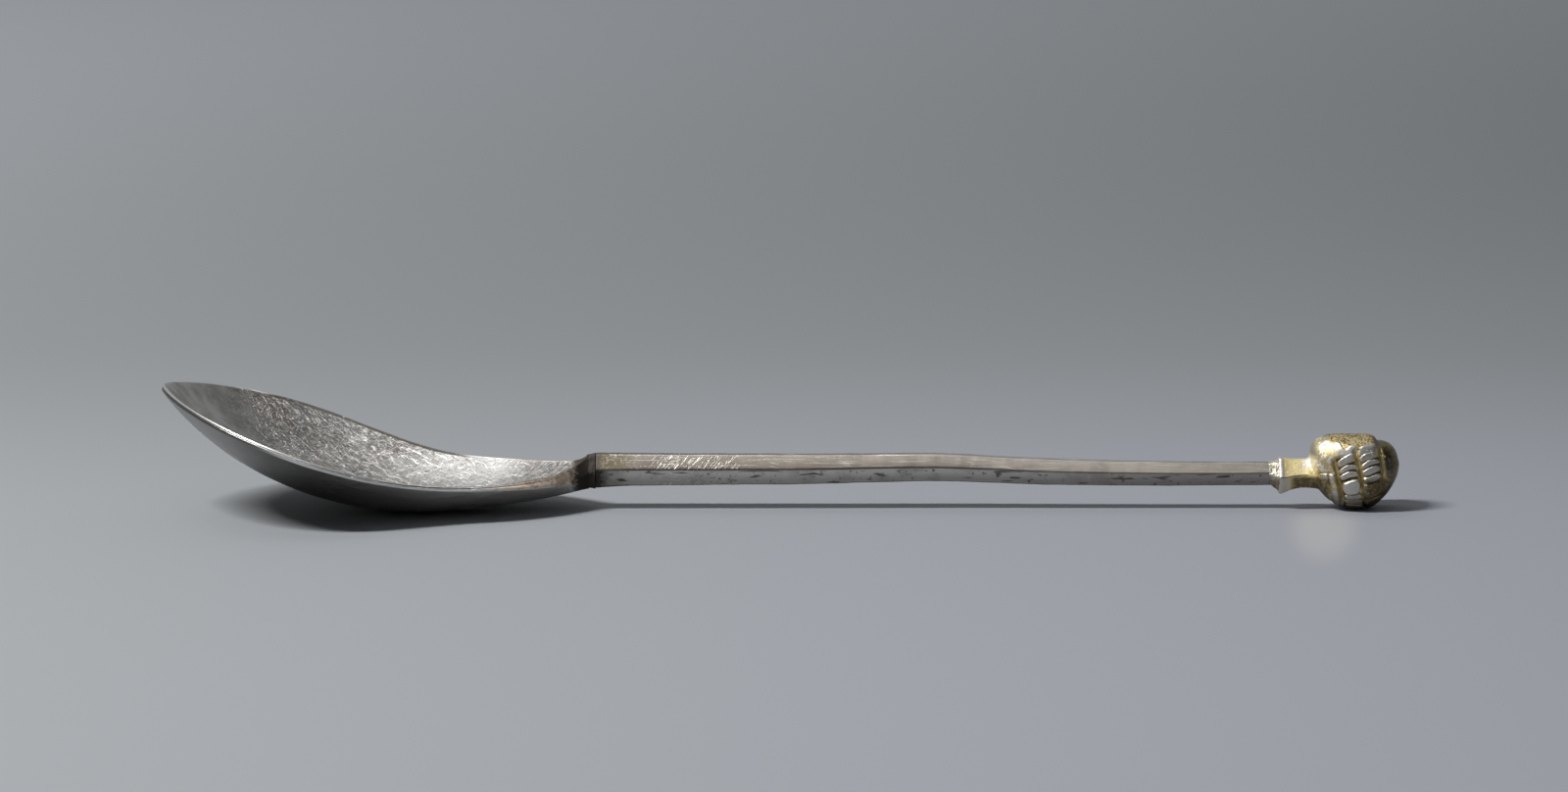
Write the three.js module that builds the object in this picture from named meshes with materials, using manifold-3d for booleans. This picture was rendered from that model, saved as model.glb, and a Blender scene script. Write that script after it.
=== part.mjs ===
// Silver spoon: a fig-shaped bowl, a six-sided stem and a cast knop with gilding in its carving.
// Three pieces of silver and the two seams of solder that join them. Nothing on it moves.
// Millimetres. +X runs from the tip of the bowl to the knop and +Z is up.
// The origin is the worn flat under the bowl, on the table that the spoon lies on.
import * as THREE from 'three';
import { mergeVertices } from 'three/addons/utils/BufferGeometryUtils.js';
import Module from 'manifold-3d';

// Bowl, seen from above: the inner edge of the rim
const TIP_TO_REST = 33.2; // from the tip of the hollow to the flat under the bowl
const REST_TO_NECK = 21.6; // from that flat to the end of the neck
const TIP_TO_WIDEST = 19.73; // from the tip to where the hollow is widest
const HALF_WIDTH = 19.85; // half of it there
const TIP_TO_SHOULDER = 39.29; // from the tip to where the sides are straightest
const SHOULDER_HALF = 12.05; // half of it there
const SHOULDER_SLOPE = 0.28; // how fast the sides close in there
const NECK_HALF = 0.75; // half of the flat ridge on top of the neck
const NECK_SLOPE = 0.7; // how fast the sides close in at the neck

// Bowl, seen from the side: the rim line, the keel and the silver between them
const RIM_TIP = 16.3; // height of the rim at the tip
const RIM_SLOPE = 0.315; // how steeply the rim falls away from the tip
const RIM_LOW = 4.9; // height of the rim at its lowest
const RIM_LOW_AT = 9.4; // how far that is behind the flat, towards the neck
const NECK_TOP = 7.05; // height of the neck's ridge where it meets the stem
const NECK_BOTTOM = 2.8; // height of the neck's underside there
const RIM_NECK_SLOPE = 0.83; // how steeply the rim climbs on to the neck
const KEEL_SLOPE = 1.226; // how steeply the underside falls away from the tip
const KEEL_NECK_SLOPE = 0.19; // how steeply it climbs at the neck
const KEEL_WEAR = 0.1; // silver worn off the lowest spot of the bowl, which leaves the flat
const WALL = 1.05; // thickness of the bowl at the bottom
const EDGE_OUT = 0.3; // how far the lower edge of the rim stands out from the upper edge
const EDGE_DROP = 0.6; // how far it lies below the upper edge
const NECK_EDGE_OUT = 0.95; // the same two at the neck, where the rim becomes a side of it
const NECK_EDGE_DROP = 2.3;
const REAR_LEAN = 0.5; // how much of the rim's lean is left along the sides that close in
const ROUNDNESS = 2.1; // power of the bowl's cross section, 2 is a parabola
const RAMP_START = 8; // how far behind the flat the floor starts to climb to the neck
const NECK_FLAT = 1.77; // width of the flat under the neck

// How long each end of a guide line keeps its direction, as a share of the stretch it belongs to
const OUTLINE_PULL = { tip: 0.15, front: 0.69, widest: 0.3, flank: 0.29, shoulder: 0.63, neck: 0.13 };
const RIM_PULL = { tip: 0.575, front: 0.31, low: 0.7, neck: 0.12 };
const KEEL_PULL = { tip: 0.284, front: 0.311, rest: 0.46, neck: 0.17 };

// Stem: a six-sided bar, a little bent, that tapers towards the knop
const STEM_LENGTH = 88.25; // between its two shoulders
const SEAM = 0.9; // width of the solder between the neck and the stem
const STEM_HEIGHTS = [5.19, 5.2, 5.27, 5.46, 4.89, 4.64, 4.66]; // middle, at even steps
const STEM_THICK_START = 4.07; // top to bottom at the bowl
const STEM_THICK_END = 2.8; // top to bottom at the knop
const STEM_WIDE_START = 3.7; // across the side ridges at the bowl
const STEM_WIDE_END = 2.85; // across the side ridges at the knop
const STEM_FLAT_START = 1.55; // width of the top and bottom flats at the bowl
const STEM_FLAT_END = 1.2; // width of those flats at the knop
const STEM_RIDGE_UP = 0.2; // how far the side ridges lie above the middle
const STEM_FLARE = 0.4; // how far the underside spreads down to meet the neck
const STEM_FLARE_LONG = 7; // over this length
const STEM_STEPS = 28;

// Tenons at the ends of the stem and the room for solder round them
const BOWL_TENON_LONG = 2.1;
const BOWL_TENON_WIDE = 1.4;
const BOWL_TENON_HIGH = 1.1;
const BOWL_TENON_HEIGHT = 4.05; // height of its middle above the table
const KNOP_TENON_LONG = 2.8;
const KNOP_TENON_SIDE = 1.7;
const KNOP_TENON_HEIGHT = 4.65;
const TENON_ROOT = 0.35; // how far a tenon runs back into the bar it is forged on
const SOLDER_GAP = 0.15;
const SOLDER_FILM = 0.06; // between the stem and the cone of solder, on both sides together
const SEAM_INSET = 0.12; // how far the seam at the bowl lies back from the surface

// Knop: flange, waist and carved head
const FLANGE_THICK = 0.55;
const FLANGE_HEIGHT = 4.33; // height of the flange's middle
const FLANGE_HIGH = 4.55; // top to bottom
const FLANGE_WIDE = 4.2; // across its side ridges
const FLANGE_FLAT = 1.75; // width of its top and bottom flats
const FILLET_LONG = 1.3; // length of the cone of solder on the stem at the flange
const WAIST_LONG = 4.3; // from the flange's face to the foot of the head
const WAIST_THIN_AT = 3.2; // from that face to where the waist is thinnest
const WAIST_HIGH = 3.6; // top to bottom there
const WAIST_WIDE = 3.4; // across its side ridges there
const WAIST_FLAT = 1.45; // width of its top and bottom flats there
const WAIST_HEIGHT = 4.62; // height of its middle there
const WAIST_SWELL = 0.15; // how much thicker it is again at the foot of the head
const HEAD_LONG = 11.1; // along its own axis
const HEAD_TILT = THREE.MathUtils.degToRad(13); // the axis of the head rises towards its end
const HEAD_UP = 5.4; // from the axis to the top, before the table is cut
const END_UP = 3.4; // the same at the smooth end, which lies below the table
const HEAD_DOWN = 5.14; // from the axis to the bottom, before wear
const HEAD_WIDE = 8.4;
const HEAD_CLEAR = 0.43; // how far the leaning foot of the head stays off the waist
const HEAD_HEIGHT = 4.95; // height of its middle above the table
const TABLE_HEIGHT = 9.85; // height of the low dome that the top of the head is filed to
const DOME_DROP = 0.8; // how far the dome falls at its sides and at its end
const DOME_HALF = 3.6; // from its middle to its sides
const DOME_TURN = 1.3; // from the middle of the head to where it starts to fall towards the end
const DOME_RUN = 1.7; // length of that fall
const TABLE_DEPTH = 0.2; // how far the table in the dome is sunk
const TABLE_LONG = 5;
const TABLE_WIDE = 5.4;
const TABLE_BACK = 0.7; // how far its middle lies before the middle of the head
const WAVE_COUNT = 11; // round its edge
const TABLE_WAVE = 0.12; // height of these waves
const BAND_COUNT = 3; // carved bands between the leaves and the smooth end
const BAND_PITCH = 2.93; // along the axis of the head
const FIRST_GROOVE = -2.75; // where the first groove lies, from the middle of the head
const GROOVE_WIDE = 0.55;
const GROOVE_DEEP = 0.42;
const GROOVE_TOPS = [38, 46, 50]; // how far up each groove runs, in degrees round the head
const GROOVE_FEET = [-55, -60, -12]; // how far down each groove runs
const BEAD_TOP = 42; // how far up the beads run
const CARVING_FADE = 12; // over how many degrees a groove or the beads run out
const BEAD_COUNT = 24; // beads round each band
const BEAD_DEEP = 0.3; // depth of the cuts between them
const BEAD_SWELL = 0.16; // how far the beads stand out
const LEAF_COUNT = 8; // leaves round the foot of the head
const LEAF_THICK = 0.28;
const LEAF_REACH = 0.55; // how far the tip of a leaf runs past the nick between two

// Powers of the head's outlines: 2 is an ellipse, more is squarer and less is more pointed
const TOP_POWER = { foot: 5, head: 3, end: 3.5 };
const UNDER_POWER = { foot: 1.75, end: 1.6 };
const SIDE_POWER = 2.6;
const RING_POWER = { top: 2.8, under: 2.1 };

// Where the sections lie, as shares of the half length of the head and of the cone of solder.
// The cone's second share is how far it has spread from the stem to the flange.
const LEAF_SECTIONS = [-0.955, -0.88, -0.79, -0.69];
const LEAF_EDGE = -0.67;
const END_SECTIONS = [0.72, 0.82, 0.9, 0.95, 0.985, 1];
const CONE_SECTIONS = [[1, 0.12], [0.3, 0.5], [0, 0.94]];

// Steps of the curved faces
const SEARCH_STEPS = 40;
const KEEL_STEPS = 60;
const HOLLOW_STEPS = 22;
const OUTLINE_STEPS = [13, 9, 13];
const WAIST_STEPS = 5;
const BEAD_STEPS = 4;
const POINTS_PER_BEAD = 3;
const POINTS_PER_WAVE = 4;
const SIDE_COUNT = 6; // of the stem, the flange and the waist
const MERGE = 1e-4; // corners closer than this are one

const SILVER = new THREE.MeshStandardMaterial({ color: 0xb7b2a8, roughness: 0.34, metalness: 1 });
const STEM_SILVER = new THREE.MeshStandardMaterial({ color: 0xaca69b, roughness: 0.38, metalness: 1 });
const GILT = new THREE.MeshStandardMaterial({ color: 0xc2a86c, roughness: 0.4, metalness: 1 });
const SEAM_METAL = new THREE.MeshStandardMaterial({ color: 0x5d5648, roughness: 0.6, metalness: 1 });
const FILLET_METAL = new THREE.MeshStandardMaterial({ color: 0xc9c4b8, roughness: 0.5, metalness: 1 });

const wasm = await Module();
wasm.setup();

// A closed skin over rings of points that follow each other along the piece.
// Each ring runs from +Y over +Z, and both ends are closed from the middle of their ring.
function loft(rings) {
  const count = rings[0].length;
  const points = rings.flat();
  const triangles = [];
  const add = (a, b, c) => triangles.push(points[a], points[b], points[c]);
  for (let i = 0; i < rings.length - 1; i += 1) {
    for (let k = 0; k < count; k += 1) {
      const a = i * count + k;
      const b = i * count + ((k + 1) % count);
      add(a, b, b + count);
      add(a, b + count, a + count);
    }
  }
  const first = rings[0];
  const last = rings[rings.length - 1];
  const middle = (ring) => ring
    .reduce((sum, point) => sum.add(point), new THREE.Vector3())
    .divideScalar(count);
  for (let k = 0; k < count; k += 1) {
    const next = (k + 1) % count;
    triangles.push(middle(first), first[next], first[k]);
    triangles.push(middle(last), last[k], last[next]);
  }
  const geometry = new THREE.BufferGeometry().setFromPoints(triangles);
  return solid(geometry);
}

// Geometry as a solid for cutting and joining. Corners that lie on one spot become one,
// and triangles that have shrunk to a line are left out.
function solid(geometry) {
  const bare = new THREE.BufferGeometry();
  bare.setAttribute('position', geometry.getAttribute('position'));
  bare.setIndex(geometry.getIndex());
  const merged = mergeVertices(bare, MERGE);
  const corners = merged.getIndex().array;
  const kept = [];
  for (let i = 0; i < corners.length; i += 3) {
    const [a, b, c] = corners.slice(i, i + 3);
    if (a !== b && b !== c && c !== a) kept.push(a, b, c);
  }
  return new wasm.Manifold(new wasm.Mesh({
    numProp: 3,
    vertProperties: new Float32Array(merged.getAttribute('position').array),
    triVerts: new Uint32Array(kept),
  }));
}

function piece(name, body, material) {
  const mesh = body.getMesh();
  const geometry = new THREE.BufferGeometry();
  geometry.setAttribute('position', new THREE.BufferAttribute(mesh.vertProperties, 3));
  geometry.setIndex(new THREE.BufferAttribute(mesh.triVerts, 1));
  geometry.computeVertexNormals();
  const node = new THREE.Mesh(geometry, material);
  node.name = name;
  return node;
}

function block(fromX, toX, wide, high, height) {
  const box = new THREE.BoxGeometry(toX - fromX, wide, high);
  box.translate((fromX + toX) / 2, 0, height);
  return solid(box);
}

// A six-sided ring with flat top and bottom, with the same number of points on each side
function hexRing(x, bottom, ridge, top, wide, flatTop, flatBottom, perSide) {
  const corners = [
    [wide / 2, ridge],
    [flatTop / 2, top],
    [-flatTop / 2, top],
    [-wide / 2, ridge],
    [-flatBottom / 2, bottom],
    [flatBottom / 2, bottom],
  ];
  const ring = [];
  corners.forEach(([y, z], side) => {
    const [nextY, nextZ] = corners[(side + 1) % corners.length];
    for (let k = 0; k < perSide; k += 1) {
      const share = k / perSide;
      ring.push(new THREE.Vector3(
        x,
        THREE.MathUtils.lerp(y, nextY, share),
        THREE.MathUtils.lerp(z, nextZ, share),
      ));
    }
  });
  return ring;
}

// Where a line that always runs towards +X crosses a given x, as its height
function heightAt(curves, x) {
  const curve = curves.find((part) => part.v3.x >= x) ?? curves[curves.length - 1];
  let low = 0;
  let high = 1;
  for (let step = 0; step < SEARCH_STEPS; step += 1) {
    const half = (low + high) / 2;
    if (curve.getPoint(half).x < x) low = half;
    else high = half;
  }
  return curve.getPoint((low + high) / 2).y;
}

const bezier = (...points) => new THREE.CubicBezierCurve(
  ...points.map(([x, y]) => new THREE.Vector2(x, y)),
);

// The bowl's guide lines
const tipX = -TIP_TO_REST;
const neckX = REST_TO_NECK;
const widestX = tipX + TIP_TO_WIDEST;
const shoulderX = tipX + TIP_TO_SHOULDER;
const flank = shoulderX - widestX;
const rear = neckX - shoulderX;
const flankRun = OUTLINE_PULL.flank * flank;
const shoulderRun = OUTLINE_PULL.shoulder * rear;
const outline = [
  bezier(
    [tipX, 0],
    [tipX, OUTLINE_PULL.tip * HALF_WIDTH],
    [widestX - OUTLINE_PULL.front * TIP_TO_WIDEST, HALF_WIDTH],
    [widestX, HALF_WIDTH],
  ),
  bezier(
    [widestX, HALF_WIDTH],
    [widestX + OUTLINE_PULL.widest * flank, HALF_WIDTH],
    [shoulderX - flankRun, SHOULDER_HALF + flankRun * SHOULDER_SLOPE],
    [shoulderX, SHOULDER_HALF],
  ),
  bezier(
    [shoulderX, SHOULDER_HALF],
    [shoulderX + shoulderRun, SHOULDER_HALF - shoulderRun * SHOULDER_SLOPE],
    [neckX - OUTLINE_PULL.neck * rear, NECK_HALF + OUTLINE_PULL.neck * rear * NECK_SLOPE],
    [neckX, NECK_HALF],
  ),
];
const rimFront = RIM_LOW_AT - tipX;
const rimRear = neckX - RIM_LOW_AT;
const rimLine = [
  bezier(
    [tipX, RIM_TIP],
    [tipX + RIM_PULL.tip * rimFront, RIM_TIP - RIM_PULL.tip * rimFront * RIM_SLOPE],
    [RIM_LOW_AT - RIM_PULL.front * rimFront, RIM_LOW],
    [RIM_LOW_AT, RIM_LOW],
  ),
  bezier(
    [RIM_LOW_AT, RIM_LOW],
    [RIM_LOW_AT + RIM_PULL.low * rimRear, RIM_LOW],
    [neckX - RIM_PULL.neck * rimRear, NECK_TOP - RIM_PULL.neck * rimRear * RIM_NECK_SLOPE],
    [neckX, NECK_TOP],
  ),
];
const keelTipX = tipX - EDGE_OUT;
const keelTip = RIM_TIP - EDGE_DROP;
const keel = [
  bezier(
    [keelTipX, keelTip],
    [keelTipX * (1 - KEEL_PULL.tip), keelTip + KEEL_PULL.tip * keelTipX * KEEL_SLOPE],
    [keelTipX * KEEL_PULL.front, -KEEL_WEAR],
    [0, -KEEL_WEAR],
  ),
  bezier(
    [0, -KEEL_WEAR],
    [KEEL_PULL.rest * neckX, -KEEL_WEAR],
    [neckX - KEEL_PULL.neck * neckX, NECK_BOTTOM - KEEL_PULL.neck * neckX * KEEL_NECK_SLOPE],
    [neckX, NECK_BOTTOM],
  ),
];

// The floor of the hollow lies one wall above the keel, square to it
const floorLine = keel.flatMap((curve) => curve.getPoints(KEEL_STEPS).map((point, i) => {
  const along = curve.getTangent(i / KEEL_STEPS);
  return new THREE.Vector2(point.x - along.y * WALL, point.y + along.x * WALL);
}));
function wallAbove(x) {
  const next = Math.max(1, floorLine.findIndex((point) => point.x >= x));
  const a = floorLine[next - 1];
  const b = floorLine[next];
  const share = THREE.MathUtils.clamp((x - a.x) / (b.x - a.x), 0, 1);
  return THREE.MathUtils.lerp(a.y, b.y, share);
}

// One cross section of the bowl: the hollow from +Y to -Y, then the underside back again
const neckWide = 2 * (NECK_HALF + NECK_EDGE_OUT);
function bowlRing(curve, t) {
  const spot = curve.getPoint(t);
  const along = curve.getTangent(t);
  const x = spot.x;
  const half = spot.y;
  const climb = THREE.MathUtils.clamp((x - RAMP_START) / (neckX - RAMP_START), 0, 1) ** 2;
  const rim = heightAt(rimLine, x);
  const floor = Math.min(rim, THREE.MathUtils.lerp(wallAbove(x), rim, climb));
  const outerX = x - along.y * EDGE_OUT * (1 - climb) * (along.y > 0 ? 1 : REAR_LEAN);
  const outerHalf = half + THREE.MathUtils.lerp(along.x * EDGE_OUT, NECK_EDGE_OUT, climb);
  const edge = rim - THREE.MathUtils.lerp(EDGE_DROP, NECK_EDGE_DROP, climb);
  const under = Math.min(edge, heightAt(keel, outerX));
  const ring = [];
  for (let k = 0; k <= HOLLOW_STEPS; k += 1) {
    const share = 1 - (2 * k) / HOLLOW_STEPS;
    const depth = (rim - floor) * (1 - Math.abs(share) ** ROUNDNESS);
    ring.push(new THREE.Vector3(x, half * share, rim - depth));
  }
  for (let k = 0; k <= HOLLOW_STEPS; k += 1) {
    const share = (2 * k) / HOLLOW_STEPS - 1;
    const curved = 1 - Math.abs(share) ** ROUNDNESS;
    const faceted = Math.min(1, (1 - Math.abs(share)) / (1 - NECK_FLAT / neckWide));
    const depth = (edge - under) * THREE.MathUtils.lerp(curved, faceted, climb);
    ring.push(new THREE.Vector3(outerX, outerHalf * share, Math.max(0, edge - depth)));
  }
  return ring;
}

const bowlRings = [bowlRing(outline[0], 0)];
outline.forEach((curve, part) => {
  for (let k = 1; k <= OUTLINE_STEPS[part]; k += 1) {
    bowlRings.push(bowlRing(curve, k / OUTLINE_STEPS[part]));
  }
});
const bowlSocket = block(
  neckX - BOWL_TENON_LONG - SOLDER_GAP,
  neckX + SEAM,
  BOWL_TENON_WIDE + 2 * SOLDER_GAP,
  BOWL_TENON_HIGH + 2 * SOLDER_GAP,
  BOWL_TENON_HEIGHT,
);
const bowl = loft(bowlRings).subtract(bowlSocket);

// The stem
const stemStart = neckX + SEAM;
const stemEnd = stemStart + STEM_LENGTH;
const stemLine = new THREE.SplineCurve(STEM_HEIGHTS.map((height, k) => new THREE.Vector2(
  stemStart + (STEM_LENGTH * k) / (STEM_HEIGHTS.length - 1),
  height,
)));
function stemRing(share, grow = 0) {
  const { x, y: middle } = stemLine.getPoint(share);
  const thick = THREE.MathUtils.lerp(STEM_THICK_START, STEM_THICK_END, share) + grow;
  const wide = THREE.MathUtils.lerp(STEM_WIDE_START, STEM_WIDE_END, share) + grow;
  const flat = THREE.MathUtils.lerp(STEM_FLAT_START, STEM_FLAT_END, share) + grow / 2;
  const flare = STEM_FLARE * Math.max(0, 1 - (x - stemStart) / STEM_FLARE_LONG) ** 2;
  const bottom = middle - thick / 2 - flare;
  return hexRing(x, bottom, middle + STEM_RIDGE_UP, middle + thick / 2, wide, flat, flat, 1);
}
const stemRings = Array.from({ length: STEM_STEPS + 1 }, (_, k) => stemRing(k / STEM_STEPS));
const bowlTenon = block(
  neckX - BOWL_TENON_LONG,
  stemStart + TENON_ROOT,
  BOWL_TENON_WIDE,
  BOWL_TENON_HIGH,
  BOWL_TENON_HEIGHT,
);
const flangeX = stemEnd + SOLDER_GAP;
const knopTenon = block(
  stemEnd - TENON_ROOT,
  flangeX + KNOP_TENON_LONG,
  KNOP_TENON_SIDE,
  KNOP_TENON_SIDE,
  KNOP_TENON_HEIGHT,
);
const stem = loft(stemRings).add(bowlTenon).add(knopTenon);

// The seam at the bowl, which runs from the neck's section to the stem's and lies a little back from both
const neckSeam = hexRing(
  neckX,
  NECK_BOTTOM + SEAM_INSET,
  NECK_TOP - NECK_EDGE_DROP,
  NECK_TOP - SEAM_INSET,
  neckWide - 2 * SEAM_INSET,
  2 * NECK_HALF - SEAM_INSET,
  NECK_FLAT - SEAM_INSET,
  1,
);
const stemSeam = stemRing(0, -2 * SEAM_INSET);
const bowlSolder = loft([neckSeam, stemSeam]).add(bowlSocket).subtract(bowlTenon);

// Knop. Every ring has the same points, a whole number of them on each bead of a band
const RING = BEAD_COUNT * POINTS_PER_BEAD;
const headLine = new THREE.Vector3(Math.cos(HEAD_TILT), 0, Math.sin(HEAD_TILT));
const headX = flangeX + WAIST_LONG + (HEAD_LONG / 2) * headLine.x + HEAD_CLEAR;

// A ring of the flange or the waist, which draws in from the flange and swells again at the head
function waistRing(along) {
  const left = Math.max(0, (WAIST_THIN_AT - along) / (WAIST_THIN_AT - FLANGE_THICK));
  const drawn = 1 - Math.min(1, left) ** 2;
  const past = Math.max(0, (along - WAIST_THIN_AT) / (WAIST_LONG - WAIST_THIN_AT));
  const high = THREE.MathUtils.lerp(FLANGE_HIGH, WAIST_HIGH, drawn) + past * WAIST_SWELL;
  const wide = THREE.MathUtils.lerp(FLANGE_WIDE, WAIST_WIDE, drawn) + past * WAIST_SWELL;
  const flat = THREE.MathUtils.lerp(FLANGE_FLAT, WAIST_FLAT, drawn);
  const middle = THREE.MathUtils.lerp(FLANGE_HEIGHT, WAIST_HEIGHT, drawn);
  const top = middle + high / 2;
  return hexRing(flangeX + along, middle - high / 2, middle, top, wide, flat, flat, RING / SIDE_COUNT);
}

const shareOf = (along) => along / (HEAD_LONG / 2);
const lastGroove = FIRST_GROOVE + (BAND_COUNT - 1) * BAND_PITCH;

// How full the head is at a share of its half length, from 1 in the middle to 0 at the ends
const fullness = (share, power) => (1 - Math.abs(share) ** power) ** (1 / power);

// Height of the dome on top of the head
function domeTop(x, y) {
  const sideways = y / DOME_HALF;
  const onwards = Math.max(0, x - headX - DOME_TURN) / DOME_RUN;
  return TABLE_HEIGHT - DOME_DROP * (sideways ** 2 + onwards ** 2);
}

// A ring of the head at a share of its half length. sink gives how far each point lies in,
// and slide how far it is moved along the axis.
function headRing(share, sink, slide = () => 0) {
  const atFoot = share < 0;
  const atEnd = share > shareOf(lastGroove);
  const topPower = atFoot ? TOP_POWER.foot : TOP_POWER.head;
  const up = atEnd ? END_UP * fullness(share, TOP_POWER.end) : HEAD_UP * fullness(share, topPower);
  const down = HEAD_DOWN * fullness(share, atFoot ? UNDER_POWER.foot : UNDER_POWER.end);
  const half = (HEAD_WIDE / 2) * fullness(share, SIDE_POWER);
  const ring = [];
  for (let k = 0; k < RING; k += 1) {
    const angle = (2 * Math.PI * k) / RING;
    const c = Math.cos(angle);
    const s = Math.sin(angle);
    const power = 2 / (s > 0 ? RING_POWER.top : RING_POWER.under);
    const across = half * Math.sign(c) * Math.abs(c) ** power;
    const rise = (s > 0 ? up : down) * Math.sign(s) * Math.abs(s) ** power;
    const reach = Math.hypot(across, rise);
    const keep = reach > 0 ? Math.max(0, 1 - sink(k) / reach) : 0;
    const along = (share * HEAD_LONG) / 2 + slide(k);
    const x = headX + along * headLine.x - rise * keep * headLine.z;
    const y = across * keep;
    const z = HEAD_HEIGHT + along * headLine.z + rise * keep * headLine.x;
    const filed = atEnd ? z : Math.min(z, domeTop(x, y));
    ring.push(new THREE.Vector3(x, y, Math.max(0, filed)));
  }
  return ring;
}

// How much of the carving is cut at a point of the ring: it runs out below the top and above the foot
const degreesAt = (k) => THREE.MathUtils.radToDeg(Math.asin(Math.sin((2 * Math.PI * k) / RING)));
const belowTop = (k, top) => 1 - THREE.MathUtils.smoothstep(degreesAt(k), top - CARVING_FADE, top);
const aboveFoot = (k, foot) => THREE.MathUtils.smoothstep(degreesAt(k), foot - CARVING_FADE, foot);

const plain = (depth) => () => depth;
const leafTip = (k) => LEAF_REACH * Math.abs(Math.sin((LEAF_COUNT / 2) * ((2 * Math.PI * k) / RING)));
const knopRings = [waistRing(0), waistRing(FLANGE_THICK)];
for (let step = 1; step <= WAIST_STEPS; step += 1) {
  const last = WAIST_LONG - HEAD_CLEAR;
  knopRings.push(waistRing(THREE.MathUtils.lerp(FLANGE_THICK, last, step / WAIST_STEPS)));
}
LEAF_SECTIONS.forEach((share, row) => {
  const slide = row === LEAF_SECTIONS.length - 1 ? leafTip : undefined;
  knopRings.push(headRing(share, plain(-LEAF_THICK), slide));
});
knopRings.push(headRing(LEAF_EDGE, plain(0), leafTip));
for (let band = 0; band < BAND_COUNT; band += 1) {
  const groove = FIRST_GROOVE + band * BAND_PITCH;
  knopRings.push(headRing(shareOf(groove - GROOVE_WIDE / 2), plain(0)));
  const grooveCut = (k) => GROOVE_DEEP * belowTop(k, GROOVE_TOPS[band]) * aboveFoot(k, GROOVE_FEET[band]);
  knopRings.push(headRing(shareOf(groove), grooveCut));
  knopRings.push(headRing(shareOf(groove + GROOVE_WIDE / 2), plain(0)));
  if (band === BAND_COUNT - 1) break;
  const stagger = band % 2;
  const open = BAND_PITCH - GROOVE_WIDE;
  for (let step = 1; step <= BEAD_STEPS; step += 1) {
    const across = step / (BEAD_STEPS + 1);
    const swell = BEAD_SWELL * Math.sin(Math.PI * across);
    const bead = (k) => ((k + stagger) % POINTS_PER_BEAD === 0 ? BEAD_DEEP : -swell);
    const beadCut = (k) => bead(k) * belowTop(k, BEAD_TOP);
    knopRings.push(headRing(shareOf(groove + GROOVE_WIDE / 2 + open * across), beadCut));
  }
}
for (const share of END_SECTIONS) {
  knopRings.push(headRing(share, plain(0)));
}
const knopBody = loft(knopRings);

// The table in the dome, a rounded square with a wavy edge, sunk evenly below the dome
const tableX = headX - TABLE_BACK;
const tablePoints = WAVE_COUNT * POINTS_PER_WAVE;
const tableOutline = new THREE.Shape(Array.from({ length: tablePoints }, (_, k) => {
  const angle = (2 * Math.PI * k) / tablePoints;
  const wave = (TABLE_WAVE / 2) * Math.cos(WAVE_COUNT * angle);
  const along = Math.sign(Math.cos(angle)) * Math.abs(Math.cos(angle)) ** (2 / SIDE_POWER);
  const across = Math.sign(Math.sin(angle)) * Math.abs(Math.sin(angle)) ** (2 / SIDE_POWER);
  return new THREE.Vector2(tableX + (TABLE_LONG / 2 + wave) * along, (TABLE_WIDE / 2 + wave) * across);
}));
const tableRoom = 2 * DOME_DROP;
const tablePrism = new THREE.ExtrudeGeometry(tableOutline, { depth: 2 * tableRoom, bevelEnabled: false });
tablePrism.translate(0, 0, TABLE_HEIGHT - tableRoom);
const sunk = new THREE.Vector3(0, 0, TABLE_DEPTH);
const sunkBody = loft(knopRings.map((ring) => ring.map((point) => point.clone().sub(sunk))));
const tableCut = solid(tablePrism).subtract(sunkBody);
const knopSocket = block(
  flangeX - SOLDER_GAP,
  flangeX + KNOP_TENON_LONG + SOLDER_GAP,
  KNOP_TENON_SIDE + 2 * SOLDER_GAP,
  KNOP_TENON_SIDE + 2 * SOLDER_GAP,
  KNOP_TENON_HEIGHT,
);
const finial = knopBody.subtract(tableCut).subtract(knopSocket);

// The solder at the knop: a cone on the stem's end, a film on the flange and the filled socket
const coneRing = ([back, share]) => {
  const high = THREE.MathUtils.lerp(STEM_THICK_END, FLANGE_HIGH, share);
  const wide = THREE.MathUtils.lerp(STEM_WIDE_END, FLANGE_WIDE, share);
  const flat = THREE.MathUtils.lerp(STEM_FLAT_END, FLANGE_FLAT, share);
  const height = THREE.MathUtils.lerp(STEM_HEIGHTS[STEM_HEIGHTS.length - 1], FLANGE_HEIGHT, share);
  const ridge = height + STEM_RIDGE_UP * (1 - share);
  const x = flangeX - back * FILLET_LONG;
  return hexRing(x, height - high / 2, ridge, height + high / 2, wide, flat, flat, 1);
};
const cone = loft(CONE_SECTIONS.map(coneRing));
const coneStart = 1 - (2 * FILLET_LONG) / STEM_LENGTH;
const stemClear = loft([stemRing(coneStart, SOLDER_FILM), stemRing(1, SOLDER_FILM)]);
const finialSolder = cone.subtract(stemClear).add(knopSocket).subtract(knopTenon);

const spoon = new THREE.Group();
spoon.name = 'silver_spoon';
spoon.add(piece('bowl', bowl, SILVER));
spoon.add(piece('stem', stem, STEM_SILVER));
spoon.add(piece('finial', finial, GILT));
spoon.add(piece('bowl_solder', bowlSolder, SEAM_METAL));
spoon.add(piece('finial_solder', finialSolder, FILLET_METAL));
export default spoon;
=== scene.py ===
# %% [markdown]
# # An old silver spoon
# The spoon is made of three pieces of silver and two seams of solder: a fig-shaped bowl, a six-sided
# stem and a cast knop with gilding left in its carving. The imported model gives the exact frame, and this
# lesson builds the surfaces that the eye meets: worn edges, forged facets, carved beads and old metal.

# %% The frame and its box
import math

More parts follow.
